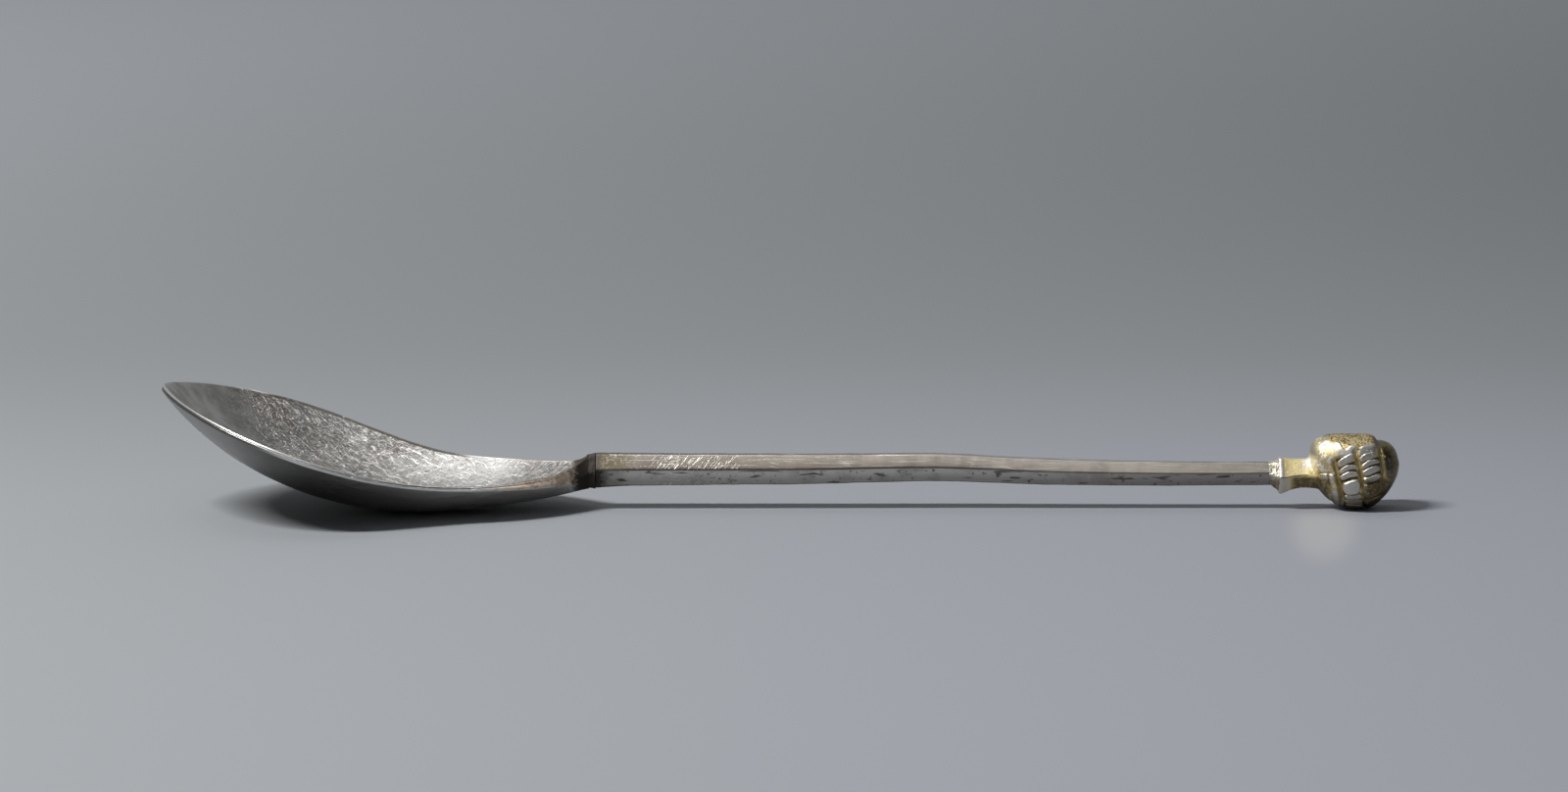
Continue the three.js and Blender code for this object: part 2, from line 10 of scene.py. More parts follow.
import bpy
import numpy as np
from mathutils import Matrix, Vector


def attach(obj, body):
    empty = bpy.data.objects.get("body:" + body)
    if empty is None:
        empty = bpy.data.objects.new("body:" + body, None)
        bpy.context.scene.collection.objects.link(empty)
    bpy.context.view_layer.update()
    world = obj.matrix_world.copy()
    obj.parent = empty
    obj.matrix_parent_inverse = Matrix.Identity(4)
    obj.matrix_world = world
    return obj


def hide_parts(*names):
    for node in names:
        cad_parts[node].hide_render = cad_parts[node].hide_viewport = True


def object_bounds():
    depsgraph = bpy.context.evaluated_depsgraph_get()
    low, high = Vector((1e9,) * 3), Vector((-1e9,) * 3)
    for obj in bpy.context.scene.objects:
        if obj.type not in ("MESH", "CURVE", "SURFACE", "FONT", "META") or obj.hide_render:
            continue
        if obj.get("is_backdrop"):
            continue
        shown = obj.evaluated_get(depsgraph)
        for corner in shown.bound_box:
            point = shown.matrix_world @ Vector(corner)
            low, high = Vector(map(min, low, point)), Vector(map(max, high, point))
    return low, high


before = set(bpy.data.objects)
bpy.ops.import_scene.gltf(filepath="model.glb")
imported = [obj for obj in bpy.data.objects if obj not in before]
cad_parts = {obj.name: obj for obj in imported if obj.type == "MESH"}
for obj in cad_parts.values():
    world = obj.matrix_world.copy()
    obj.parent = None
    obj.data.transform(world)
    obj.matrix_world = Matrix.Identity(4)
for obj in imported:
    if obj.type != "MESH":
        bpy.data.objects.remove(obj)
cad_low, cad_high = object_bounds()
MM = 0.001
print("nodes:", sorted(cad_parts))
print("size in mm:", [round((high - low) / MM, 2) for low, high in zip(cad_low, cad_high)])

# %% [markdown]
# The camera comes first, so that each piece can be looked at from the right place. The photograph was
# taken with a long lens from a little above the table. A long lens keeps the stem straight and shows
# almost no perspective, and a camera far away with a small angle does the same.

# %% Camera
LENS = 120
SENSOR = 36
CAMERA_PLACE = (0.046871, -0.667665, 0.118086)
CAMERA_PITCH = math.radians(81.2)

bpy.ops.object.select_all(action="DESELECT")
bpy.ops.object.camera_add(location=CAMERA_PLACE, rotation=(CAMERA_PITCH, 0, 0))
camera = bpy.context.object
camera.data.lens = LENS
camera.data.sensor_width = SENSOR
camera.data.clip_start = 0.01
bpy.context.scene.camera = camera
print("camera", camera.name, "looks down by", round(90 - math.degrees(CAMERA_PITCH), 1), "degrees")

# %% [markdown]
# Metal shows its surroundings more than itself, so the light is part of the likeness. The shadows lie
# close under the spoon and run out to the right, so the main lamp is a long, narrow soft box above the
# left front. A box high behind is what the hollow mirrors near the neck. Two panels and a wide ceiling
# fill the rest softly.

# %% Floor and lamps
FLOOR_SIDE = 12.0
AIM = Vector((0.03, 0, 0.005))

bpy.ops.mesh.primitive_plane_add(size=FLOOR_SIDE, location=(0, 0, 0))
floor = bpy.context.object
floor.name = "floor"
floor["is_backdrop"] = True


def soft_lamp(name, place, size, power, aim=AIM):
    """A rectangular lamp that faces the spoon, or another spot."""
    bpy.ops.object.light_add(type="AREA", location=place)
    lamp = bpy.context.object
    lamp.name = name
    lamp.data.shape = "RECTANGLE"
    lamp.data.size, lamp.data.size_y = size
    lamp.data.energy = power
    lamp.rotation_euler = (Vector(aim) - Vector(place)).to_track_quat("-Z", "Y").to_euler()
    print(name, "of", size, "m gives", power, "W")


soft_lamp("soft_box", (-0.37, -0.19, 0.58), (0.32, 0.06), 9.6, aim=(-0.37, 0, 0))
soft_lamp("back_box", (-0.53, 0.53, 1.41), (0.8, 0.56), 2.8)
soft_lamp("front_panel", (0.15, -0.85, 1.23), (0.9, 0.7), 1.1)
soft_lamp("left_panel", (-0.79, -0.79, 0.45), (0.8, 0.5), 1.0)
soft_lamp("ceiling", (-0.40, 0.30, 1.70), (2.4, 2.4), 1.7)

scene = bpy.context.scene
scene.view_settings.view_transform = "Standard"
if scene.world is None:
    scene.world = bpy.data.worlds.new("studio")

# %% [markdown]
# The bowl and the knop have curved skins that follow measured lines. Extruding a ring by hand a hundred
# times would give the same skin, but slowly. Here a flat grid is added, each of its rows is laid round
# the form as one cross section, and the edges that meet are merged, like a sheet wrapped round a form.
# Marks, such as how deep the carving is, stay on the mesh as attributes for the finish to read.

# %% A sheet wrapped round a form
WELD = 0.001


def edit_all():
    """Edit mode with everything selected."""
    bpy.ops.object.mode_set(mode="EDIT")
    bpy.ops.mesh.select_all(action="SELECT")


def end_edit(cuts=0):
    """Turns every face outwards, divides it by some cuts and leaves edit mode."""
    bpy.ops.mesh.select_all(action="SELECT")
    bpy.ops.mesh.normals_make_consistent(inside=False)
    if cuts:
        bpy.ops.mesh.subdivide(number_cuts=cuts)
    bpy.ops.object.mode_set(mode="OBJECT")


def keep_mark(piece, label, values):
    """Keeps one value at each point of the mesh."""
    mark = piece.data.attributes.new(label, "FLOAT", "POINT")
    mark.data.foreach_set("value", values)


def wrapped_sheet(name, rings, marks):
    """A closed skin over rings of points in millimetres, one row of a grid for each ring.
    Each of the marks is a value at every point."""
    rings = np.asarray(rings, float)
    rows, columns = rings.shape[:2]
    bpy.ops.object.select_all(action="DESELECT")
    bpy.ops.mesh.primitive_grid_add(x_subdivisions=columns, y_subdivisions=rows - 1, size=1)
    piece = bpy.context.object
    piece.name = name
    sheet = np.concatenate([rings, rings[:, :1]], axis=1)
    piece.data.vertices.foreach_set("co", (sheet * MM).ravel())
    for label, values in marks.items():
        keep_mark(piece, label, np.concatenate([values, values[:, :1]], axis=1).ravel())
    piece.data.update()
    edit_all()
    bpy.ops.mesh.remove_doubles(threshold=WELD * MM)
    bpy.ops.mesh.select_all(action="DESELECT")
    bpy.ops.mesh.select_mode(type="EDGE")
    bpy.ops.mesh.select_non_manifold()
    bpy.ops.mesh.fill_holes(sides=0)
    end_edit()
    bpy.ops.object.shade_smooth()
    print(name, "has", len(piece.data.vertices), "points and", len(piece.data.polygons), "faces")
    return piece


# %% [markdown]
# A smith's hammer and five hundred years of polish leave no surface perfectly even. A Displace modifier
# with a soft cloud pattern moves the points in and out by a few hundredths of a millimetre. It is applied
# at once, so that the finished mesh carries the unevenness.

# %% Unevenness and wear
def make_uneven(piece, size, depth):
    """Moves the skin in and out along its normals. size and depth are in millimetres."""
    clouds = bpy.data.textures.new(piece.name + "_clouds", "CLOUDS")
    clouds.noise_scale = size * MM
    clouds.noise_depth = 2
    bpy.context.view_layer.objects.active = piece
    modifier = piece.modifiers.new("uneven", "DISPLACE")
    modifier.texture = clouds
    modifier.texture_coords = "LOCAL"
    modifier.strength = depth * MM
    bpy.ops.object.modifier_apply(modifier=modifier.name)


def points_of(piece):
    """All points of a mesh in metres, one row for each."""
    points = np.empty(len(piece.data.vertices) * 3)
    piece.data.vertices.foreach_get("co", points)
    return points.reshape(-1, 3)


def keep_in_box(piece):
    """Wears off what stands out of the measured box, such as metal that would sink into the table."""
    points = np.clip(points_of(piece), cad_low, cad_high)
    piece.data.vertices.foreach_set("co", points.ravel())
    piece.data.update()


# %% [markdown]
# The bowl is raised from a sheet with a hammer. Seen from above it has the shape of a fig, and seen from
# the side its rim falls from the tip and climbs again to the neck. Three kinds of guide line hold that
# shape: the rim from above, the rim from the side, and the keel. Each is a chain of Bezier curves.

# %% Sizes of the bowl
TIP_X = -33.2
NECK_X = 21.6
HALF_WIDTH = 19.85
WIDEST_X = -13.472
SHOULDER_X = 6.092
SHOULDER_HALF = 12.049
SHOULDER_SLOPE = 0.28
NECK_HALF = 0.75
NECK_SLOPE = 0.7
RIM_TIP = 16.3
RIM_SLOPE = 0.315
RIM_LOW = 4.9
RIM_LOW_X = 9.4
NECK_TOP = 7.05
NECK_CLIMB = 5 / 6
NECK_BOTTOM = 2.72
EDGE_OUT = 0.3
EDGE_DROP = 0.6
KEEL_SLOPE = 1.226
KEEL_WEAR = 0.1
WALL = 1.05
print("bowl from", TIP_X, "to", NECK_X, "mm, with a wall of", WALL, "mm")

# %% The rim from above
TIP_REACH = 0.15
FRONT_REACH = 0.69
OUTLINE_STEPS = (64, 44, 60)


def bezier(points, t):
    a, b, c, d = (np.array(point, float) for point in points)
    t = np.asarray(t, float)[..., None]
    u = 1 - t
    return u**3 * a + 3 * u**2 * t * b + 3 * u * t**2 * c + t**3 * d


def chain(curves, steps):
    """Points along several curves that follow each other."""
    parts = [bezier(curve, np.linspace(0, 1, count + 1)[1:]) for curve, count in zip(curves, steps)]
    return np.concatenate([[np.array(curves[0][0], float)], *parts])


def span(start, end, reaches, slopes):
    """A curve between two points. Each handle reaches over a share of the run, on its end's slope."""
    run = end[0] - start[0]
    first, last = reaches[0] * run, -reaches[1] * run
    from_start = (start[0] + first, start[1] + first * slopes[0])
    to_end = (end[0] + last, end[1] + last * slopes[1])
    return [start, from_start, to_end, end]


widest, shoulder = (WIDEST_X, HALF_WIDTH), (SHOULDER_X, SHOULDER_HALF)
to_widest = (WIDEST_X - FRONT_REACH * (WIDEST_X - TIP_X), HALF_WIDTH)
rear_slopes = (-SHOULDER_SLOPE, -NECK_SLOPE)
outline_curves = [
    [(TIP_X, 0), (TIP_X, TIP_REACH * HALF_WIDTH), to_widest, widest],
    span(widest, shoulder, reaches=(0.3, 0.29), slopes=(0, -SHOULDER_SLOPE)),
    span(shoulder, (NECK_X, NECK_HALF), reaches=(0.63, 0.13), slopes=rear_slopes),
]
outline = chain(outline_curves, OUTLINE_STEPS)
print("bowl stations:", len(outline), "widest", outline[:, 1].max(), "mm from the middle")

# %% The rim from the side, the keel and the floor
KEEL_REACH = 0.46
HEEL = (0.83 * NECK_X, 0.75 * NECK_BOTTOM)
LINE_STEPS = (200, 100)

rim_low = (RIM_LOW_X, RIM_LOW)
rim_curves = [
    span((TIP_X, RIM_TIP), rim_low, reaches=(0.575, 0.31), slopes=(-RIM_SLOPE, 0)),
    span(rim_low, (NECK_X, NECK_TOP), reaches=(0.7, 0.12), slopes=(0, NECK_CLIMB)),
]
keel_tip, keel_low = (TIP_X - EDGE_OUT, RIM_TIP - EDGE_DROP), (0, -KEEL_WEAR)
keel_curves = [
    span(keel_tip, keel_low, reaches=(0.284, 0.311), slopes=(-KEEL_SLOPE, 0)),
    [keel_low, (KEEL_REACH * NECK_X, -KEEL_WEAR), HEEL, (NECK_X, NECK_BOTTOM)],
]
rim_line, keel_line = chain(rim_curves, LINE_STEPS), chain(keel_curves, LINE_STEPS)
keel_run = np.gradient(keel_line, axis=0)
keel_run /= np.linalg.norm(keel_run, axis=1)[:, None]
floor_line = keel_line + WALL * np.stack([-keel_run[:, 1], keel_run[:, 0]], axis=1)
print("lowest point of the rim:", round(float(rim_line[:, 1].min()), 2), "mm above the table")

# %% [markdown]
# One cross section of the bowl is a crescent: the hollow, the rim and the underside. The rim is a narrow
# face between two edges that wear has rounded, so each edge is a short curve and not a corner. A thin
# line is sunk into the face, and a narrow lip lies inside the rim, where the finish paints shade.

# %% Rim of one section
EDGE_ROUND = 0.22
EDGE_MOST = 0.3
EDGE_POINTS = 5
RIM_LINE = ((0.2, 0), (0.32, 1), (0.46, 1), (0.58, 0))
TINY = 1e-6


def rounded(before, corner, after):
    """A corner as a short curve from the point before it to the point after it."""
    t = np.linspace(0, 1, EDGE_POINTS)[:, None]
    return (1 - t) ** 2 * before + 2 * (1 - t) * t * corner + t**2 * after


def towards(start, end, distance):
    step = end - start
    length = np.linalg.norm(step)
    return start + step * min(EDGE_MOST, distance / max(length, TINY))


def rim_face(inner, upper, lower, outer, side, line_deep):
    """The rim from the hollow to the underside: a rounded edge, a thin line and a rounded edge."""
    first = rounded(inner, upper, towards(upper, lower, EDGE_ROUND))
    last = rounded(towards(lower, upper, EDGE_ROUND), lower, outer)
    run = last[0] - first[-1]
    sink = np.array([0, -side * abs(run[2]), -abs(run[1])])
    sink *= line_deep / max(np.linalg.norm(sink), TINY)
    line = [first[-1] + run * share + sink * deep for share, deep in RIM_LINE]
    return np.concatenate([first, line, last])


rim_count = 2 * EDGE_POINTS + len(RIM_LINE)
print("points across the rim:", rim_count)

# %% [markdown]
# Towards the neck the floor climbs to the rim, the rim's face grows into a side of the neck, and the
# underside turns from round to faceted. One share, climb, drives all of that.

# %% Sections of the bowl
NECK_EDGE_OUT = 0.95
NECK_EDGE_DROP = 2.3
ROUNDNESS = 2.1
RAMP_START = 8.0
NECK_FLAT = 0.52
LINE_DEEP = 0.1
HOLLOW_POINTS = 61
LIP_WIDE = 0.2


def bowl_section(place):
    x, half = outline[place]
    run = outline[min(place + 1, len(outline) - 1)] - outline[max(place - 1, 0)]
    run /= np.linalg.norm(run)
    climb = np.clip((x - RAMP_START) / (NECK_X - RAMP_START), 0, 1) ** 2
    rim = np.interp(x, *rim_line.T)
    bottom = np.interp(x, *floor_line.T)
    bottom = min(rim, bottom + (rim - bottom) * climb)
    out_x = x - run[1] * EDGE_OUT * (1 - climb) * (1 if run[1] > 0 else 0.5)
    out_half = half + run[0] * EDGE_OUT * (1 - climb) + NECK_EDGE_OUT * climb
    edge = rim - EDGE_DROP * (1 - climb) - NECK_EDGE_DROP * climb
    under = min(edge, np.interp(out_x, *keel_line.T))
    trim = min(0.5, EDGE_ROUND / max(half, TINY))
    share = np.linspace(1 - trim, trim - 1, HOLLOW_POINTS)
    lip = min(LIP_WIDE / max(half, TINY), 0.5 * (share[0] - share[1]))
    share[1], share[-2] = share[0] - lip, share[-1] + lip
    curved = 1 - np.abs(share) ** ROUNDNESS
    hollow = np.stack([np.full_like(share, x), half * share, rim - (rim - bottom) * curved], axis=1)
    faceted = np.minimum(1, (1 - np.abs(share)) / (1 - NECK_FLAT))
    drop = (edge - under) * (curved + (faceted - curved) * climb)
    underside = np.stack([np.full_like(share, out_x), -out_half * share, edge - drop], axis=1)
    sides = []
    for side, inner, outer in ((-1, hollow[-1], underside[0]), (1, hollow[0], underside[-1])):
        upper = np.array([x, side * half, rim])
        lower = np.array([out_x, side * out_half, edge])
        sides.append(rim_face(inner, upper, lower, outer, side, LINE_DEEP * (1 - climb) ** 3))
    return np.concatenate([hollow[1:-1], sides[0], underside[1:-1], sides[1][::-1]])


sections = [bowl_section(place) for place in range(len(outline))]
print("points in a section:", len(sections[0]))

# %% Marks across a section
def section_mark(rim_values, under_value=0.0):
    """One value for each point of a section, in the order of its points."""
    inside = np.zeros(HOLLOW_POINTS - 2)
    below = np.full(HOLLOW_POINTS - 2, under_value)
    mark = np.concatenate([inside, rim_values, below, rim_values[::-1]])
    return np.tile(mark, (len(outline), 1))


rim_order = np.arange(rim_count)
in_line = np.isin(rim_order, (EDGE_POINTS + 1, EDGE_POINTS + 2))
bowl_marks = {
    "rim": section_mark(np.ones(rim_count)),
    "line": section_mark(in_line.astype(float)),
    "lip": section_mark((rim_order < EDGE_POINTS - 1).astype(float)),
    "under": section_mark(rim_order / (rim_count - 1), 1.0),
}
bowl_marks["lip"][:, [0, HOLLOW_POINTS - 3]] = 1.0
print("marks on the bowl:", sorted(bowl_marks))

# %% [markdown]
# Now the sections become the bowl. Two passes of unevenness follow, a broad one for the hammer and a fine
# one for wear.

# %% Bowl
bowl = wrapped_sheet("spoon_bowl", sections, bowl_marks)
make_uneven(bowl, size=9, depth=0.16)
make_uneven(bowl, size=2.2, depth=0.035)
keep_in_box(bowl)

# %% [markdown]
# The stem is a bar that was forged six-sided and bent a little with use. It is modelled as by hand: a
# filled hexagon is extruded step by step, and each new end is moved and scaled to follow the bend and the
# taper. Last, the long edges get a bevel, because no old edge is sharp.

# %% Bend and taper of the stem
STEM_START = 22.5
STEM_END = 110.75
STEM_MIDDLES = (5.15, 5.15, 5.22, 5.41, 4.84, 4.59, 4.61)
STEM_THICK = (4.16, 2.9)
STEM_WIDE = (3.7, 2.85)
STEM_STEPS = 56


def smooth_line(values, shares):
    """A smooth line through values at even steps."""
    values = np.array(values, float)[:, None]
    pieces = len(values) - 1
    bend = np.gradient(values, axis=0) / 3
    spot = np.clip(np.floor(shares * pieces).astype(int), 0, pieces - 1)
    first, last = values[spot], values[spot + 1]
    return bezier((first, first + bend[spot], last - bend[spot + 1], last), shares * pieces - spot)[:, 0]


shares = np.linspace(0, 1, STEM_STEPS + 1)
stem_x = STEM_START + (STEM_END - STEM_START) * shares
stem_z = smooth_line(STEM_MIDDLES, shares)
stem_thick = np.interp(shares, (0, 1), STEM_THICK)
stem_wide = np.interp(shares, (0, 1), STEM_WIDE)
print("the stem's middle rises to", round(stem_z.max(), 2), "mm")

# %% The hexagon that starts the stem
STEM_FLAT = 0.42
STEM_RIDGE_UP = 0.25


def hexagon(name, x, middle, wide):
    """A filled hexagon that stands across the stem, with a corner at each side."""
    bpy.ops.object.select_all(action="DESELECT")
    place, across = (x * MM, 0, middle * MM), (0, math.pi / 2, 0)
    bpy.ops.mesh.primitive_circle_add(
        vertices=6, radius=wide / 2 * MM, fill_type="NGON", location=place, rotation=across
    )
    piece = bpy.context.object
    piece.name = name
    bpy.ops.object.transform_apply(location=True, rotation=True, scale=True)
    return piece


stem = hexagon("spoon_stem", stem_x[0], stem_z[0], stem_wide[0])
for point in stem.data.vertices:
    rise = point.co.z / MM - stem_z[0]
    if abs(rise) < 0.1 * STEM_THICK[0]:
        point.co.z = (stem_z[0] + STEM_RIDGE_UP) * MM
    else:
        point.co.z = (stem_z[0] + math.copysign(stem_thick[0] / 2, rise)) * MM
        point.co.y = math.copysign(STEM_FLAT * stem_wide[0] / 2 * MM, point.co.y)
print("hexagon of", len(stem.data.vertices), "points")

# %% Extrude the stem along its bend
def extrude_end(run, rise, scale, x, z):
    """Extrudes what is selected, and scales the new end about its middle at x and z."""
    bpy.ops.mesh.extrude_region_move(TRANSFORM_OT_translate={"value": (run * MM, 0, rise * MM)})
    bpy.ops.transform.resize(value=(1, *scale), center_override=(x * MM, 0, z * MM))


edit_all()
for step in range(STEM_STEPS):
    x, z = stem_x[step + 1], stem_z[step + 1]
    taper = (stem_wide[step + 1] / stem_wide[step], stem_thick[step + 1] / stem_thick[step])
    extrude_end(x - stem_x[step], z - stem_z[step], taper, x, z)
end_edit()
print("stem has", len(stem.data.vertices), "points after", STEM_STEPS, "extrusions")

# %% Soften the long edges and spread the foot
STEM_BEVEL = 0.15
FOOT_SPREAD = 0.28
FOOT_LONG = 7.0


def subdivided(piece):
    """Two levels of subdivision, applied, and smooth shading."""
    smooth = piece.modifiers.new("smooth", "SUBSURF")
    smooth.levels = smooth.render_levels = 2
    bpy.ops.object.modifier_apply(modifier=smooth.name)
    bpy.ops.object.shade_smooth()
    print(piece.name, "has", len(piece.data.polygons), "faces after the smoothing")


for edge in stem.data.edges:
    a, b = (stem.data.vertices[index].co for index in edge.vertices)
    edge.select = abs(a.x - b.x) > 0.5 * abs(a.y - b.y) + 0.5 * abs(a.z - b.z)
bpy.ops.object.mode_set(mode="EDIT")
bpy.ops.mesh.select_mode(type="EDGE")
bpy.ops.mesh.bevel(offset=STEM_BEVEL * MM, segments=3, profile=0.5, affect="EDGES")
bpy.ops.object.mode_set(mode="OBJECT")
for point in stem.data.vertices:
    near_bowl = max(0, 1 - (point.co.x / MM - STEM_START) / FOOT_LONG) ** 2
    if point.co.z / MM < stem_z[0] - 1:
        point.co.z -= FOOT_SPREAD * near_bowl * MM
subdivided(stem)

# %% Mark the ridges and the crests of the stem
EDGE_REACH = 0.2

spots = points_of(stem) / MM
half_wide = np.interp(spots[:, 0], stem_x, stem_wide) / 2
half_thick = np.interp(spots[:, 0], stem_x, stem_thick) / 2
sideways = np.abs(spots[:, 1])
upwards = spots[:, 2] - np.interp(spots[:, 0], stem_x, stem_z)
stem_marks = {
    "ridge": np.hypot(sideways - half_wide, upwards - STEM_RIDGE_UP),
    "crest": np.hypot(sideways - STEM_FLAT * half_wide, upwards - half_thick),
    "heel": np.hypot(sideways - STEM_FLAT * half_wide, upwards + half_thick),
}
for label, distance in stem_marks.items():
    keep_mark(stem, label, np.clip(1 - distance / EDGE_REACH, 0, 1))
    print("nearest point to the", label, "lies", round(float(distance.min()), 3), "mm from it")
keep_mark(stem, "rise", upwards / half_thick)
make_uneven(stem, size=7, depth=0.14)
make_uneven(stem, size=1.6, depth=0.03)

# %% [markdown]
# The knop is the showpiece: a six-sided flange, a waist and a carved head, cast in one. Its skin is
# wrapped like the bowl's, ring after ring from the flange to the end. The waist's rings are hexagons with
# soft corners, and the head's rings are full rounded squares above and rounder below. Every ring uses the
# same angles, so a six-sided ring flows into a round one.

# %% Rings of flange and waist
FLANGE_X = 110.9
RING_POINTS = 336
CORNER_POWER = 48
EDGE_PLACES = (0.0, 0.02, 0.06, 0.11)
WAIST_RINGS = 40
angles = np.linspace(0, 2 * math.pi, RING_POINTS, endpoint=False)
WAIST_PLACES = (0.0, 0.06, 0.16, 0.42, 0.55, 0.75, 1.2, 1.7, 2.3, 3.0, 3.6, 4.1)
WAIST_HIGHS = (4.25, 4.45, 4.55, 4.55, 4.47, 4.32, 4.08, 3.87, 3.69, 3.6, 3.62, 3.75)
WAIST_WIDES = (3.95, 4.1, 4.2, 4.2, 4.14, 4.03, 3.86, 3.67, 3.51, 3.4, 3.42, 3.53)
WAIST_MIDDLES = (4.33, 4.33, 4.33, 4.33, 4.34, 4.36, 4.41, 4.5, 4.58, 4.62, 4.64, 4.66)


def six_sided(wide, high):
    """Reach of a hexagon with soft corners at each angle, from +Y over +Z."""
    flat = STEM_FLAT * wide / 2
    slope = np.array([high / 2, wide / 2 - flat])
    slope /= np.linalg.norm(slope)
    reach = slope @ np.array([wide / 2, 0])
    sides = [(0, 1, high / 2), (0, -1, high / 2)]
    sides += [(a * slope[0], b * slope[1], reach) for a in (1, -1) for b in (1, -1)]
    pressed = 0
    for y, z, far in sides:
        pressed += np.maximum(0, (np.cos(angles) * y + np.sin(angles) * z) / far) ** CORNER_POWER
    return pressed ** (-1 / CORNER_POWER)


knop_rings = []
for place in (*EDGE_PLACES, *np.linspace(WAIST_PLACES[2], WAIST_PLACES[-1], WAIST_RINGS)):
    lines = (WAIST_WIDES, WAIST_HIGHS, WAIST_MIDDLES)
    wide, high, middle = (np.interp(place, WAIST_PLACES, line) for line in lines)
    reach = six_sided(wide, high)
    ring = [np.full(RING_POINTS, FLANGE_X + place), reach * np.cos(angles), middle + reach * np.sin(angles)]
    knop_rings.append(np.stack(ring, axis=1))
print("waist rings:", len(knop_rings))

# %% [markdown]
# The head leans back by a few degrees. Its upper side is full and nearly flat, its lower side is rounder,
# and past the last groove it ends in a smooth lobe that lies lower than the rest.

# %% Smooth form of the head
HEAD_X = 121.03
HEAD_Z = 4.95
HEAD_LONG = 11.1
HEAD_TILT = math.radians(13)
HEAD_UP = 5.4
END_UP = 3.4
HEAD_DOWN = 5.14
HEAD_WIDE = 8.4
HEAD_START = 5.35
HEAD_RINGS = 196
GROOVES = (-2.75, 0.18, 3.11)
# How full each part is. A power of 2 gives an ellipse, and a higher one comes closer to a box.
UPPER_FULL = (5, 3)
END_FULL = 3.5
LOWER_FULL = (1.75, 1.6)
SIDE_FULL = 2.6
RING_FULL = (2.1, 2.8)


def smooth_step(low, high, value):
    t = np.clip((value - low) / (high - low), 0, 1)
    return t * t * (3 - 2 * t)


def head_reach(along, turn):
    """Reach of the smooth head from its axis, at a place along it and an angle round it."""
    share = np.clip(along / (HEAD_LONG / 2), -0.9999, 0.9999)

    def full(power):
        return (1 - np.abs(share) ** power) ** (1 / power)

    at_end = smooth_step(GROOVES[2] - 0.1, GROOVES[2] + 0.35, along)
    up = HEAD_UP * np.where(share < 0, full(UPPER_FULL[0]), full(UPPER_FULL[1])) * (1 - at_end)
    up = up + END_UP * full(END_FULL) * at_end
    down = HEAD_DOWN * np.where(share < 0, full(LOWER_FULL[0]), full(LOWER_FULL[1]))
    half = HEAD_WIDE / 2 * full(SIDE_FULL)
    rise = np.sin(turn)
    power = RING_FULL[0] + (RING_FULL[1] - RING_FULL[0]) * smooth_step(-0.3, 0.3, rise)
    tall = np.where(rise > 0, up, down)
    return ((np.abs(np.cos(turn)) / half) ** power + (np.abs(rise) / tall) ** power) ** (-1 / power)


head_swing = np.linspace(-math.asin(HEAD_START / (HEAD_LONG / 2)), math.pi / 2, HEAD_RINGS)
head_places = HEAD_LONG / 2 * np.sin(head_swing)
print("head rings:", len(head_places))

# %% [markdown]
# The carving is worked out as one depth for each point: grooves that part the head into bands, flat beads
# with thin cuts between them in the bands, and a collar of leaves at the foot. Beads are listed from the
# top of the head downwards, and both sides of the head carry the same ones.

# %% Beads in a band
# Each bead: its angle, half its height and its slant in degrees, its rise in millimetres,
# and how far its middle is bent upwards.
FIRST_BEADS = (
    (30.6, 6.6, 3.5, 0.06, 0),
    (16, 5.0, 1.5, 0.05, 2),
    (3.8, 6.2, 0, 0.02, 2),
    (-17.4, 14.0, 0, 0.22, 0),
    (-37, 5.2, 0, 0.02, 0),
    *((place, 6.4, 0, 0.02, 0) for place in (-49, -62, -75)),
)
SECOND_BEADS = (
    (28.9, 5.2, 2, 0.03, 0),
    (17, 5.0, 2, 0.06, 1),
    (4.3, 7.0, 1, 0.06, 0),
    (-10, 6.3, 0, 0.05, 0),
    (-24, 6.9, 0, 0.03, 0),
    *((place, 7.5, 0, 0.05, 0) for place in (-40, -58, -75)),
)
BEAD_REACH = 1.25
BEAD_FULL = (4, 2.6)


def with_beads(depth, along, angle, start, end, beads):
    """The depth with the beads of one band standing in it."""
    across = (along - (start + end) / 2) / BEAD_REACH
    for place, tall, slant, rise, bend in beads:
        middle = place + slant * across * BEAD_REACH + bend * (1 - np.abs(across))
        inside = 1 - np.abs(across) ** BEAD_FULL[0] - np.abs((angle - middle) / tall) ** BEAD_FULL[1]
        depth = depth - (depth + rise) * smooth_step(0, 0.5, inside)
    return depth


print("beads on each side:", len(FIRST_BEADS) + len(SECOND_BEADS))

# %% Beads, grooves and collar as one depth
GROOVE_TOPS = (39, 45, 47)
GROOVE_FEET = (-44, -48, -8)
GROOVE_HALF = 0.3
GROOVE_DEEP = 0.4
BED_DEEP = 0.3
BED_TOP = 38
BED_FALL = 3.5
LEAN = 0.6
HAND_TURN = 0.9
HAND_SLIP = 0.03
STRIP = (-3.95, -3.1)
STRIP_RISE = 0.12
STRIP_TOP = 18.0
LEAF_DEEP = 0.2


def ridge(value, width):
    """One at the middle of a line and nothing away from it."""
    return np.exp(-((value / width) ** 2))


def between(value, low, high, soft):
    """One from low to high, with soft ends inside."""
    return smooth_step(low, low + soft, value) * smooth_step(high, high - soft, value)


